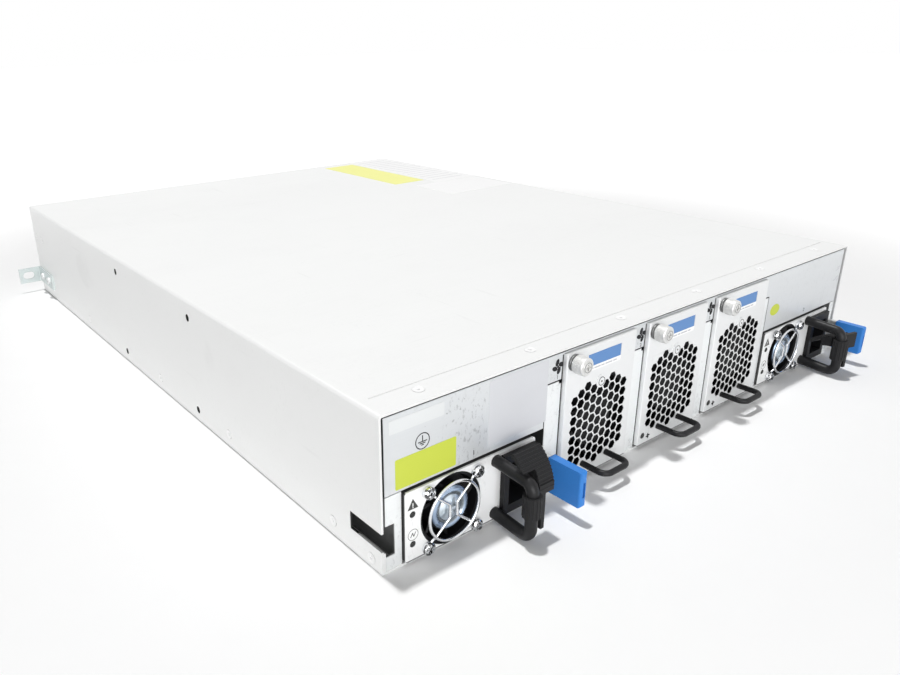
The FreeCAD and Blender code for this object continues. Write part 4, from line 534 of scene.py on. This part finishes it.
def foil_finish(name, base):
    """A silvery dish with two dull lobes of painted reflection, a dark groove and a bluish rim."""
    finish = Finish(name, base, 0.70, 0.20)
    tree = finish.tree
    place = tree.nodes.new("ShaderNodeUVMap")
    place.uv_map = "disc"
    angle = tree.nodes.new("ShaderNodeTexGradient")
    angle.gradient_type = "RADIAL"
    tree.links.new(place.outputs["UV"], angle.inputs["Vector"])
    # Painted reflection: two dull lobes by angle, deeper blue where they cross the rim
    turn = maths(tree, "MULTIPLY_ADD", angle.outputs["Fac"], 4 * math.pi)
    turn.node.inputs[2].default_value = 0.9
    painted_reflection_lobes = spread(tree, maths(tree, "SINE", turn, 0.0), 0.1, 1.0)
    out = tree.nodes.new("ShaderNodeVectorMath")
    out.operation = "LENGTH"
    tree.links.new(place.outputs["UV"], out.inputs[0])
    rim = spread(tree, out.outputs["Value"], 0.71, 0.75)
    groove = maths(tree, "SUBTRACT", spread(tree, out.outputs["Value"], 0.56, 0.59), rim)
    finish.tint(painted_reflection_lobes, (0.30, 0.36, 0.40), 0.75)
    finish.tint(rim, (0.24, 0.35, 0.54), 0.85)
    finish.tint(both(tree, rim, painted_reflection_lobes), (0.12, 0.18, 0.30), 0.7)
    finish.tint(groove, (0.015, 0.02, 0.03), 0.95)
    speckle = finish.use("speckle", fineness=900.0)
    finish.tint(speckle["Texture"], scaled(base, 1.15), 0.3)
    return finish.done()


def plastic_finish(name, base, roughness, fineness, dust):
    """Moulded plastic or paint with a fine texture and a little dust."""
    finish = Finish(name, base, 0.0, roughness)
    finish.shader.inputs["Specular IOR Level"].default_value = 0.25
    speckle = finish.use("speckle", fineness=fineness)
    scuffs = finish.use("scuffs", amount=0.5)
    finish.tint(speckle["Texture"], scaled(base, 1.6), 0.35)
    finish.tint(speckle["Dust"], (0.45, 0.45, 0.43), dust)
    finish.tint(scuffs["Smudges"], scaled(base, 2.2), 0.25)
    finish.roughen(speckle["Texture"], 0.15)
    finish.bump(speckle["Texture"], 0.15, 0.06 * MM)
    return finish.done()


def paper_finish(name, base, roughness, shine):
    """Printed paper or film with faint fibres and handling marks."""
    finish = Finish(name, base, 0.0, roughness)
    finish.shader.inputs["Specular IOR Level"].default_value = shine
    speckle = finish.use("speckle", fineness=1400.0)
    scuffs = finish.use("scuffs", amount=0.35)
    finish.tint(speckle["Texture"], scaled(base, 0.90), 0.35)
    finish.tint(scuffs["Smudges"], scaled(base, 0.78), 0.35)
    finish.roughen(speckle["Texture"], 0.12)
    return finish.done()


# Name of the material, roughness and metallic share of the bright metals
METALS = {
    "screw": ("screw_steel", 0.32, 0.6),
    "nickel": ("nickel_plate", 0.26, 0.75),
    "chrome": ("chrome_wire", 0.08, 1.0),
    "brass": ("plain_brass", 0.25, 1.0),
}

# Name of the material, roughness, fineness and dust of the plastics and paints
MOULDINGS = {
    "black_bar": ("black_bar_paint", 0.34, 900.0, 0.03),
    "black_plastic": ("black_moulding", 0.45, 1800.0, 0.04),
    "fan_plastic": ("fan_moulding", 0.45, 1500.0, 0.03),
    "release_blue": ("blue_moulding", 0.34, 1600.0, 0.04),
    "lens": ("lens_resin", 0.12, 2600.0, 0.02),
    "board": ("solder_mask", 0.38, 700.0, 0.10),
}

# Name of the material, roughness and shine of the papers, films and inks
PAPERS = {
    "label_blue": ("blue_film", 0.35, 0.5),
    "label_grey": ("grey_film", 0.40, 0.5),
    "label_white": ("white_paper", 0.55, 0.5),
    "label_pale": ("pale_film", 0.40, 0.5),
    "label_yellow": ("yellow_film", 0.45, 0.5),
    "sticker": ("sticker_film", 0.42, 0.5),
    "ink": ("printed_ink", 0.60, 0.1),
    "grey_ink": ("grey_print", 0.60, 0.2),
    "faint_ink": ("faint_print", 0.50, 0.5),
    "trace_ink": ("trace_print", 0.55, 0.5),
}


def made_finish(name):
    """A new material for the named finish."""
    shade = colours()
    wear = sizes().wear
    for table, maker in ((METALS, bright_finish), (MOULDINGS, plastic_finish), (PAPERS, paper_finish)):
        if name in table:
            title, *values = table[name]
            return maker(title, getattr(shade, name), *values)
    makers = {
        "cover": lambda: sheet_finish("cover_zinc", shade.cover, 0.35, 0.38, wear * 0.10, holed=True),
        "tray": lambda: tray_finish("tray_zinc", shade.cover),
        "ear": lambda: sheet_finish("ear_zinc", shade.ear, 0.45, 0.34, wear * 0.2),
        "panel": lambda: sheet_finish("panel_zinc", shade.panel, 0.40, 0.36, wear, PANEL_BACK, calm=True),
        "post": lambda: sheet_finish("post_zinc", shade.bay, 0.40, 0.36, wear * 0.6, PANEL_BACK),
        "bay": lambda: sheet_finish("bay_zinc", shade.bay, 0.40, 0.36, wear * 0.6, PANEL_BACK, BAY_SHADE),
        "port_panel": lambda: sheet_finish("port_zinc", shade.panel, 0.40, 0.36, wear * 0.5),
        "plate": lambda: plate_finish("pale_plate", shade.plate, wear * 0.25, PLATE_FOOT, PLATE_BACK,
                                      vented=True),
        "case": lambda: plate_finish("case_plate", shade.case, wear * 0.3, CASE_FOOT, CASE_BACK, CASE_TOP,
                                     metallic=0.12),
        "flush_screw": lambda: bright_finish("bright_zinc", shade.label_white, 0.40, 0.25),
        "guard_screw": lambda: glint_finish("guard_screw_chrome", shade.chrome, 0.10),
        # Darkened steel for painted shade: the knobs' ferrules and the rings on their ends
        "dark_steel": lambda: bright_finish("dark_steel", scaled(shade.screw, 0.25), 0.30, 1.0),
        "hub_disc": lambda: foil_finish("hub_foil", shade.hub_disc),
        "sink": lambda: sheet_finish("sink_extrusion", shade.sink, 0.85, 0.35, wear * 0.4),
    }
    return makers[name]()


FINISHES = {}


def finish_for(name):
    """The named finish, made the first time that it is used."""
    if name not in FINISHES:
        FINISHES[name] = made_finish(name)
    return FINISHES[name]


def dress(finish, *node_names):
    """Gives CAD nodes a finish."""
    for name in node_names:
        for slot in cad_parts[name].material_slots:
            slot.material = finish_for(finish)


# Making pieces

def mm(values):
    """Millimetres as metres."""
    return tuple(value * MM for value in values)


def finished(name, bm, finish, body, smooth=False):
    """Turns a bmesh into a piece that rides on a body."""
    bmesh.ops.remove_doubles(bm, verts=bm.verts, dist=1e-7)
    bmesh.ops.recalc_face_normals(bm, faces=bm.faces)
    for face in bm.faces:
        face.smooth = smooth
    mesh = bpy.data.meshes.new(name)
    bm.to_mesh(mesh)
    bm.free()
    mesh.materials.append(finish_for(finish))
    piece = bpy.data.objects.new(name, mesh)
    bpy.context.scene.collection.objects.link(piece)
    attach(piece, body)
    return piece


def add_slab(bm, x, y, height, corner=0.0, facing=FACING_UP, spot=(0, 0, 0)):
    """A thin plate between pairs of local bounds, standing on a surface at a spot."""
    size = Vector((x[1] - x[0], y[1] - y[0], height))
    middle = Vector(((x[0] + x[1]) / 2, (y[0] + y[1]) / 2, height / 2))
    placed = Matrix.Translation(middle) @ Matrix.Diagonal(size.to_4d())
    verts = bmesh.ops.create_cube(bm, size=1.0, matrix=placed)["verts"]
    if corner > 0.0:
        upright = [edge for edge in {e for v in verts for e in v.link_edges}
                   if abs(edge.verts[0].co.z - edge.verts[1].co.z) > height / 2]
        made = bmesh.ops.bevel(bm, geom=upright, offset=corner, offset_type="OFFSET", segments=4,
                               profile=0.5, affect="EDGES", material=-1)
        verts = list({v for v in verts if v.is_valid} | set(made["verts"]))
    bmesh.ops.transform(bm, matrix=Matrix.Translation(Vector(spot)) @ facing, verts=verts)


def add_disc(bm, radius, height, segments=24, facing=FACING_UP, spot=(0, 0, 0), local=Matrix.Identity(4)):
    """A round plate standing on a surface at a spot."""
    made = bmesh.ops.create_cone(bm, cap_ends=True, segments=segments, radius1=radius, radius2=radius,
                                 depth=height, matrix=Matrix.Translation((0, 0, height / 2)))
    bmesh.ops.transform(bm, matrix=Matrix.Translation(Vector(spot)) @ facing @ local, verts=made["verts"])


def add_turned(bm, profile, steps, facing, spot):
    """A turned shape: (radius, height) points spun about the local Z axis."""
    verts = [bm.verts.new((radius, 0, height)) for radius, height in profile]
    edges = [bm.edges.new(pair) for pair in zip(verts, verts[1:])]
    before = set(bm.verts) - set(verts)
    bmesh.ops.spin(bm, geom=verts + edges, cent=(0, 0, 0), axis=UP, angle=2 * math.pi, steps=steps,
                   use_merge=True, use_duplicate=False)
    made = [v for v in bm.verts if v not in before]
    bmesh.ops.remove_doubles(bm, verts=made, dist=1e-7)
    made = [v for v in bm.verts if v not in before]
    bmesh.ops.transform(bm, matrix=Matrix.Translation(Vector(spot)) @ facing, verts=made)


def add_ring(bm, outer, inner, height, facing, spot, segments=40):
    """A flat ring standing on a surface at a spot."""
    profile = [(inner, 0.0), (outer, 0.0), (outer, height), (inner, height), (inner, 0.0)]
    add_turned(bm, profile, segments, facing, spot)


def add_text(bm, words, height, thickness, facing, spot):
    """Flat centred figures standing on a surface at a spot."""
    curve = bpy.data.curves.new("figures", "FONT")
    curve.body = words
    curve.size = height * 1.4
    curve.extrude = thickness / 2
    curve.align_x = "CENTER"
    curve.align_y = "CENTER"
    holder = bpy.data.objects.new("figures", curve)
    bpy.context.scene.collection.objects.link(holder)
    bpy.context.view_layer.update()
    mesh = bpy.data.meshes.new_from_object(holder.evaluated_get(bpy.context.evaluated_depsgraph_get()))
    before = set(bm.verts)
    bm.from_mesh(mesh)
    made = [v for v in bm.verts if v not in before]
    raised = Matrix.Translation((0, 0, thickness / 2))
    bmesh.ops.transform(bm, matrix=Matrix.Translation(Vector(spot)) @ facing @ raised, verts=made)
    bpy.data.objects.remove(holder)
    bpy.data.curves.remove(curve)
    bpy.data.meshes.remove(mesh)


def label(name, finish, x, y, facing, spot, body="chassis", slot="panel_zinc"):
    """A blank stuck-on label with rounded corners."""
    bm = bmesh.new()
    add_slab(bm, x, y, sizes().label_thickness, sizes().corner, facing, spot)
    return finished(name, bm, finish, body)


# Operators, one for each group of like pieces

class SWITCH_OT_sheet_metal(bpy.types.Operator):
    """Finish the cover, base, ears, panel, posts and bay sheets"""
    bl_idname = "switch.sheet_metal"
    bl_label = "Sheet metal"

    def execute(self, context):
        dress("cover", "top_cover")
        dress("tray", "base_tray")
        dress("ear", "ear_left", "ear_right")
        dress("panel", "service_panel")
        dress("bay", "power_bay_left", "power_bay_right")
        dress("post", *(f"bay_post_{number}" for number in (1, 2, 3, 4)))
        dress("port_panel", "port_panel")
        dress("flush_screw", "cover_screws")
        dress("screw", "ear_screws")
        return {"FINISHED"}


class SWITCH_OT_power_supplies(bpy.types.Operator):
    """Finish the power supplies and put the foil discs on their rotors"""
    bl_idname = "switch.power_supplies"
    bl_label = "Power supplies"

    def execute(self, context):
        for unit in POWER_SUPPLIES:
            dress("case", f"{unit}_case")
            dress("fan_plastic", f"{unit}_fan_frame", f"{unit}_fan_rotor")
            dress("chrome", f"{unit}_finger_guard")
            dress("guard_screw", f"{unit}_guard_screws")
            dress("black_plastic", f"{unit}_inlet", f"{unit}_cord_clip")
            dress("nickel", f"{unit}_inlet_pins")
            dress("black_bar", f"{unit}_handle")
            dress("screw", f"{unit}_latch_strip")
            dress("release_blue", f"{unit}_latch_tab")
            dress("board", f"{unit}_board")
            low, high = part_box(f"{unit}_fan_rotor")
            spot = ((low.x + high.x) / 2, low.y, (low.z + high.z) / 2)
            bm = bmesh.new()
            add_turned(bm, [mm(point) for point in HUB_PROFILE], 48, FACING_SERVICE, spot)
            layer = bm.loops.layers.uv.new("disc")
            radius = HUB_RADIUS * MM
            for face in bm.faces:
                for loop in face.loops:
                    place = loop.vert.co
                    loop[layer].uv = ((place.x - spot[0]) / radius, (place.z - spot[2]) / radius)
            finished(f"{unit}_hub_disc", bm, "hub_disc", f"{unit}_rotor", smooth=True)
        return {"FINISHED"}


class SWITCH_OT_fan_modules(bpy.types.Operator):
    """Finish the fan modules, with their blue bands, knurls, ferrules and stud rings; the dark ferrules, the
    rings on the knobs' ends and the stud rings carry painted shade
    """
    bl_idname = "switch.fan_modules"
    bl_label = "Fan modules"

    def execute(self, context):
        for fan in FANS:
            dress("plate", f"{fan}_plate")
            dress("fan_plastic", f"{fan}_frame", f"{fan}_rotor")
            dress("nickel", f"{fan}_thumbscrew")
            dress("black_bar", f"{fan}_handle")
            self.band(fan, (FAN_HANDLE[fan].x, FAN_Y, 0.0))
            self.knob(fan, Vector((FAN_HANDLE[fan].x + KNOB_X * MM, FAN_Y, KNOB_Z * MM)))
            self.stud(fan)
        return {"FINISHED"}

    def band(self, fan, spot):
        """A blue band over a pale strip with a row of faint bars."""
        label(f"{fan}_strip", "label_white", mm(STRIP_X), mm(STRIP_Z), FACING_SERVICE, spot, fan,
              "white_sheet")
        thick = sizes().label_thickness
        above = (spot[0], spot[1] - thick, spot[2])
        bm = bmesh.new()
        add_slab(bm, mm(BAND_X), mm(BAND_Z), thick / 2, 0.0, FACING_SERVICE, above)
        finished(f"{fan}_band", bm, "label_blue", fan)
        bm = bmesh.new()
        x = BAR_START
        for wide in BAR_WIDTHS:
            add_slab(bm, mm((x, x + wide)), mm(BAR_Z), thick / 2, 0.0, FACING_SERVICE, above)
            x += wide + BAR_GAP
        add_slab(bm, mm((BAND_X[1], STRIP_X[1])), mm(BAND_Z), thick / 2, 0.0, FACING_SERVICE, above)
        finished(f"{fan}_bars", bm, "faint_ink", fan)

    def knob(self, fan, spot):
        """Straight knurls round the knob, the ferrule that holds it in the plate and the ring on its end; the
        ferrule's dark finish and the ring are painted shade.
        """
        bm = bmesh.new()
        radius = KNURL_RADIUS * MM
        for number in range(KNURLS):
            turn = Matrix.Rotation(2 * math.pi * number / KNURLS, 4, "Z")
            made = bmesh.ops.create_cone(bm, cap_ends=True, segments=6, radius1=radius, radius2=radius,
                                         depth=KNURL_LENGTH * MM,
                                         matrix=turn @ Matrix.Translation(mm((KNURL_OUT, 0.0, KNURL_UP))))
            bmesh.ops.transform(bm, matrix=Matrix.Translation(spot) @ FACING_SERVICE, verts=made["verts"])
        finished(f"{fan}_knurls", bm, "nickel", f"{fan}_screw")
        # The ferrule's dark finish is painted shade behind the knob
        bm = bmesh.new()
        add_turned(bm, [mm(point) for point in FERRULE_PROFILE], 40, FACING_SERVICE, spot)
        finished(f"{fan}_ferrule", bm, "dark_steel", fan, smooth=True)
        # The dark ring on the knob's end is painted shade of a groove
        bm = bmesh.new()
        end = Vector((spot.x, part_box(f"{fan}_thumbscrew")[0].y, spot.z))
        add_ring(bm, 2.9 * MM, 2.6 * MM, sizes().ink_thickness, FACING_SERVICE, end)
        finished(f"{fan}_screw_ring", bm, "dark_steel", f"{fan}_screw")

    def stud(self, fan):
        """The ring and the dot on the end of the pressed-in stud; the ring is painted shade at the stud's
        edge.
        """
        bm = bmesh.new()
        stud = Vector((FAN_HANDLE[fan].x, FAN_Y - STUD_RISE * MM, STUD_Z * MM))
        # The ring is painted shade at the stud's edge
        add_ring(bm, 2.65 * MM, 2.3 * MM, sizes().ink_thickness, FACING_SERVICE, stud)
        add_disc(bm, 0.6 * MM, sizes().ink_thickness, 10, FACING_SERVICE, stud)
        finished(f"{fan}_stud_ring", bm, "grey_ink", fan)


class SWITCH_OT_boards(bpy.types.Operator):
    """Finish the boards, standoffs, heat sinks and port cages"""
    bl_idname = "switch.boards"
    bl_label = "Boards and port side"

    def execute(self, context):
        dress("board", "fan_board", "main_board")
        dress("brass", "board_standoffs")
        dress("sink", "heat_sinks")
        dress("screw", "port_cage_left", "port_cage_right")
        dress("black_plastic", "management_jacks")
        return {"FINISHED"}


class SWITCH_OT_labels(bpy.types.Operator):
    """Stick the blank labels on the panel and the cover"""
    bl_idname = "switch.labels"
    bl_label = "Blank labels"

    def execute(self, context):
        for name, finish, x, z in PANEL_LABELS:
            label(name, finish, mm(x), mm(z), FACING_SERVICE, (0.0, PANEL_Y, 0.0))
        bm = bmesh.new()
        spot = (OVAL_SPOT[0] * MM, PANEL_Y, OVAL_SPOT[1] * MM)
        squash = Matrix.Diagonal((1.0, OVAL_SQUASH, 1.0, 1.0))
        add_disc(bm, OVAL_RADIUS * MM, 0.12 * MM, 40, FACING_SERVICE, spot, squash)
        finished("panel_oval_sticker", bm, "sticker", "chassis")
        bm = bmesh.new()
        leaning = FACING_SERVICE @ Matrix.Rotation(0.25, 4, "Z")
        for x, z, wide in SCRAPES:
            add_slab(bm, mm((-wide / 2, wide / 2)), mm((-0.35, 0.35)), sizes().ink_thickness, 0.0, leaning,
                     (x * MM, PANEL_Y, z * MM))
        finished("panel_scrapes", bm, "faint_ink", "chassis")
        for name, finish, x, y in COVER_LABELS:
            label(name, finish, mm(x), mm(y), FACING_UP, (0.0, FACE_Y, TOP_Z))
        bm = bmesh.new()
        above = (0.0, FACE_Y, TOP_Z + sizes().label_thickness)
        for row in range(SHEET_BARS):
            reach = 44.0 + 6.0 * math.sin(row * 1.9) + 3.0 * math.sin(row * 4.3)
            near = SHEET_BAR_Y + row * SHEET_BAR_PITCH
            add_slab(bm, mm((SHEET_BAR_X, SHEET_BAR_X + reach)), mm((near, near + 2.0)),
                     sizes().ink_thickness, 0.0, FACING_UP, above)
        finished("cover_sheet_bars", bm, "trace_ink", "chassis")
        return {"FINISHED"}


def add_stroke(bm, start, end, width, thickness, spot):
    """A printed straight stroke between two local points."""
    start = Vector((start[0] * MM, start[1] * MM, 0.0))
    along = Vector((end[0] * MM, end[1] * MM, 0.0)) - start
    turn = Matrix.Translation(start) @ Matrix.Rotation(math.atan2(along.y, along.x), 4, "Z")
    add_slab(bm, (-width / 2, along.length + width / 2), (-width / 2, width / 2), thickness, 0.0,
             FACING_SERVICE @ turn, spot)


def add_fan_symbol(bm, diameter, thickness, spot):
    """Four leaning blades round a hub."""
    for number in range(4):
        turn = Matrix.Rotation(2 * math.pi * number / 4 + 0.6, 4, "Z")
        lean = Matrix.Translation((diameter * 0.09, diameter * 0.28, 0)) @ Matrix.Rotation(-0.95, 4, "Z")
        blade = turn @ lean @ Matrix.Diagonal((0.62, 1.0, 1.0, 1.0))
        add_disc(bm, diameter * 0.25, thickness, 16, FACING_SERVICE, spot, blade)
    add_disc(bm, diameter * 0.09, thickness, 12, FACING_SERVICE, spot)


class SWITCH_OT_symbols(bpy.types.Operator):
    """Print the earth, fan, alarm and power symbols and the bay numbers"""
    bl_idname = "switch.symbols"
    bl_label = "Printed symbols"

    def execute(self, context):
        thick = sizes().ink_thickness
        bm = bmesh.new()
        radius = sizes().earth / 2
        spot = (EARTH_SPOT[0] * MM, PANEL_Y, EARTH_SPOT[1] * MM)
        add_ring(bm, radius, radius * 0.88, thick, FACING_SERVICE, spot)
        stem = radius * 0.06
        add_slab(bm, (-stem, stem), (0.0, radius * 0.68), thick, 0.0, FACING_SERVICE, spot)
        for number, reach in enumerate((0.62, 0.40, 0.18)):
            level = -radius * 0.20 * number
            add_slab(bm, (-radius * reach, radius * reach), (level - stem * 2, level), thick, 0.0,
                     FACING_SERVICE, spot)
        finished("earth_symbol", bm, "ink", "chassis")
        bm = bmesh.new()
        for number, x in enumerate(POWER_BAYS, start=1):
            add_text(bm, str(number), sizes().digit * 0.8, thick, FACING_SERVICE,
                     (x * MM, PANEL_Y, POWER_BAY_NUMBER_Z * MM))
        finished("power_bay_numbers", bm, "ink", "chassis")
        bm = bmesh.new()
        for x in FAN_BAYS:
            add_fan_symbol(bm, sizes().symbol, thick, (x * MM, PANEL_Y, FAN_SYMBOL_Z * MM))
        finished("fan_symbols", bm, "ink", "chassis")
        bm = bmesh.new()
        for number, x in enumerate(FAN_BAYS, start=1):
            add_text(bm, str(number), sizes().digit * 0.7, thick, FACING_SERVICE,
                     (x * MM, PANEL_Y, FAN_BAY_NUMBER_Z * MM))
        finished("fan_bay_numbers", bm, "grey_ink", "chassis")
        for unit in POWER_SUPPLIES:
            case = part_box(f"{unit}_case")[0]
            x = case.x + POWER_MARK_X * MM
            bm = bmesh.new()
            spot = (x, POWER_Y, ALARM_Z * MM)
            add_turned(bm, [(0.0, 0.0), (3.8 * MM, 0.0), (3.8 * MM, thick), (0.0, thick)], 3,
                       FACING_SERVICE @ Matrix.Rotation(math.radians(90), 4, "Z"), spot)
            spot = (x, POWER_Y, POWER_MARK_Z * MM)
            add_ring(bm, 3.2 * MM, 2.95 * MM, thick, FACING_SERVICE, spot)
            for start, end in POWER_STROKES:
                add_stroke(bm, start, end, 0.42 * MM, thick, spot)
            finished(f"{unit}_symbols", bm, "grey_ink", unit)
            bm = bmesh.new()
            spot = (x, POWER_Y - thick, ALARM_STROKE_Z * MM)
            add_stroke(bm, (0.0, 0.2), (0.0, 1.5), 0.55 * MM, thick / 2, spot)
            add_disc(bm, 0.32 * MM, thick / 2, 10, FACING_SERVICE, (x, POWER_Y - thick, ALARM_DOT_Z * MM))
            finished(f"{unit}_alarm_marks", bm, "label_white", unit)
        for fan in FANS:
            bm = bmesh.new()
            spot = (FAN_HANDLE[fan].x + SMALL_SYMBOL_SPOT[0] * MM, FAN_Y, SMALL_SYMBOL_SPOT[1] * MM)
            add_fan_symbol(bm, sizes().symbol * SMALL_SYMBOL, thick, spot)
            finished(f"{fan}_symbol", bm, "ink", fan)
        return {"FINISHED"}


class SWITCH_OT_lights(bpy.types.Operator):
    """Put the unlit lenses in their holes"""
    bl_idname = "switch.lights"
    bl_label = "Indicator lenses"

    def execute(self, context):
        def lens(bm, radius, spot, facing=FACING_SERVICE):
            back = -LENS_DEPTH * MM
            profile = [(0.0, 0.35 * radius), (0.45 * radius, 0.30 * radius), (0.80 * radius, 0.15 * radius),
                       (radius, -0.05 * radius), (radius, back), (0.0, back)]
            add_turned(bm, profile, 24, facing, spot)

        for unit in POWER_SUPPLIES:
            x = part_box(f"{unit}_case")[0].x + POWER_LENS_X * MM
            bm = bmesh.new()
            for z in POWER_LENSES_Z:
                lens(bm, sizes().lens_radius, (x, POWER_Y, z * MM))
            finished(f"{unit}_lenses", bm, "lens", unit, smooth=True)
        for fan in FANS:
            bm = bmesh.new()
            x = FAN_HANDLE[fan].x + FAN_LENS_SPOT[0] * MM
            lens(bm, sizes().fan_lens_radius, (x, FAN_Y, FAN_LENS_SPOT[1] * MM))
            finished(f"{fan}_lens", bm, "lens", fan, smooth=True)
        bm = bmesh.new()
        for hand in ("left", "right"):
            low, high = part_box(f"port_cage_{hand}")
            for column in range(PORT_COLUMNS):
                for side in (-1, 1):
                    x = low.x + 10.4 * MM + column * PORT_PITCH * MM + side * 4.7 * MM
                    lens(bm, PORT_LENS_RADIUS * MM, (x, PORT_Y, high.z + 3.0 * MM), FACING_PORTS)
        finished("port_lenses", bm, "lens", "chassis", smooth=True)
        return {"FINISHED"}


# Stage

FLOOR_FADE = (0.42, 1.3)
KEY_SPOT, KEY_WIDTH = (-0.22, 0.28, 3.3), 0.18
FILL_SPOT, FILL_WIDTH = (-0.92, -1.98, 0.32), 1.4
EYE = Vector((-0.398058, -0.536809, 0.243965))
EYE_RIGHT = Vector((0.79370, -0.60808, -0.01661))
EYE_FORWARD = Vector((0.55834, 0.73908, -0.37685))
EYE_UP = Vector((0.24143, 0.28983, 0.92613))
LENS_LENGTH, LENS_SHIFT = 31.2053, (0.06414, 0.00742)


def add_lamp(name, spot, target, width, power):
    lamp = bpy.data.lights.new(name, "AREA")
    lamp.shape = "DISK"
    lamp.size = width
    lamp.energy = power
    holder = bpy.data.objects.new(name, lamp)
    bpy.context.scene.collection.objects.link(holder)
    holder.location = spot
    holder.rotation_euler = (Vector(target) - Vector(spot)).to_track_quat("-Z", "Y").to_euler()


class SWITCH_OT_stage(bpy.types.Operator):
    """Lay the floor, hang the lamps and set the camera"""
    bl_idname = "switch.stage"
    bl_label = "Stage"

    def execute(self, context):
        scene = context.scene
        stage = scene.switch_stage
        scene.view_settings.view_transform = "Standard"
        bm = bmesh.new()
        bmesh.ops.create_grid(bm, x_segments=1, y_segments=1, size=stage.floor_width / 2)
        mesh = bpy.data.meshes.new("floor")
        bm.to_mesh(mesh)
        bm.free()
        floor = bpy.data.objects.new("floor", mesh)
        scene.collection.objects.link(floor)
        mesh.materials.append(self.floor_finish())
        self.surround(scene, stage)
        add_lamp("key_lamp", KEY_SPOT, (0.0, 0.0, 0.0), KEY_WIDTH, stage.key_power)
        add_lamp("fill_lamp", FILL_SPOT, (0.0, -0.2, 0.05), FILL_WIDTH, stage.fill_power)
        self.camera(scene)
        return {"FINISHED"}

    def floor_finish(self):
        """A pale floor that fades to the white surround away from the object and keeps its shadow."""
        finish = Finish("pale_floor", (0.93, 0.93, 0.93), 0.0, 0.6)
        speckle = finish.use("speckle", fineness=30.0)
        finish.tint(speckle["Texture"], (0.96, 0.96, 0.96), 0.5)
        tree = finish.tree
        place = tree.nodes.new("ShaderNodeTexCoord")
        far = tree.nodes.new("ShaderNodeVectorMath")
        far.operation = "LENGTH"
        tree.links.new(place.outputs["Object"], far.inputs[0])
        path = tree.nodes.new("ShaderNodeLightPath")
        seen = maths(tree, "MAXIMUM", path.outputs["Is Camera Ray"], path.outputs["Is Glossy Ray"])
        lift = spread(tree, far.outputs["Value"], *FLOOR_FADE)
        tree.links.new(both(tree, seen, lift), finish.shader.inputs["Emission Strength"])
        finish.shader.inputs["Emission Color"].default_value = (1.0, 1.0, 1.0, 1.0)
        finish.shader.inputs["Specular IOR Level"].default_value = 0.2
        return finish.done()

    def surround(self, scene, stage):
        """An even white surround, full white to the camera and in reflections."""
        world = bpy.data.worlds.new("white_surround")
        scene.world = world
        world.use_nodes = True
        tree = world.node_tree
        background = tree.nodes["Background"]
        background.inputs["Color"].default_value = (1.0, 1.0, 1.0, 1.0)
        path = tree.nodes.new("ShaderNodeLightPath")
        seen = maths(tree, "MAXIMUM", path.outputs["Is Camera Ray"], path.outputs["Is Glossy Ray"])
        seen = maths(tree, "MAXIMUM", seen, path.outputs["Is Transmission Ray"])
        gain = maths(tree, "MULTIPLY_ADD", seen, 1.0 - stage.sky)
        gain.node.inputs[2].default_value = stage.sky
        tree.links.new(gain, background.inputs["Strength"])

    def camera(self, scene):
        """The photograph's camera, solved from the chassis edges."""
        lens = bpy.data.cameras.new("photo_camera")
        lens.sensor_fit = "HORIZONTAL"
        lens.sensor_width = 36.0
        lens.lens = LENS_LENGTH
        lens.shift_x, lens.shift_y = LENS_SHIFT
        lens.clip_start = 0.01
        lens.clip_end = 50.0
        turn = Matrix((EYE_RIGHT, EYE_UP, -EYE_FORWARD)).transposed().to_4x4()
        holder = bpy.data.objects.new("photo_camera", lens)
        scene.collection.objects.link(holder)
        holder.matrix_world = Matrix.Translation(EYE) @ turn
        scene.camera = holder


STEPS = (SWITCH_OT_sheet_metal, SWITCH_OT_power_supplies, SWITCH_OT_fan_modules, SWITCH_OT_boards,
         SWITCH_OT_labels, SWITCH_OT_symbols, SWITCH_OT_lights, SWITCH_OT_stage)


class VIEW3D_PT_switch(bpy.types.Panel):
    """Steps and settings of the switch's finishes"""
    bl_label = "Rack switch"
    bl_space_type = "VIEW_3D"
    bl_region_type = "UI"
    bl_category = "Switch"

    def draw(self, context):
        for step in STEPS:
            self.layout.operator(step.bl_idname)
        for group in (context.scene.switch_colours, context.scene.switch_sizes, context.scene.switch_stage):
            for name in group.bl_rna.properties.keys():
                if name not in ("rna_type", "name"):
                    self.layout.prop(group, name)


CLASSES = (SwitchColours, SwitchSizes, SwitchStage) + STEPS + (VIEW3D_PT_switch,)


def register():
    for item in CLASSES:
        bpy.utils.register_class(item)
    bpy.types.Scene.switch_colours = bpy.props.PointerProperty(type=SwitchColours)
    bpy.types.Scene.switch_sizes = bpy.props.PointerProperty(type=SwitchSizes)
    bpy.types.Scene.switch_stage = bpy.props.PointerProperty(type=SwitchStage)


def unregister():
    del bpy.types.Scene.switch_colours
    del bpy.types.Scene.switch_sizes
    del bpy.types.Scene.switch_stage
    for item in reversed(CLASSES):
        bpy.utils.unregister_class(item)


def main():
    register()
    bpy.ops.switch.sheet_metal()
    bpy.ops.switch.power_supplies()
    bpy.ops.switch.fan_modules()
    bpy.ops.switch.boards()
    bpy.ops.switch.labels()
    bpy.ops.switch.symbols()
    bpy.ops.switch.lights()
    bpy.ops.switch.stage()


if __name__ == "__main__":
    main()
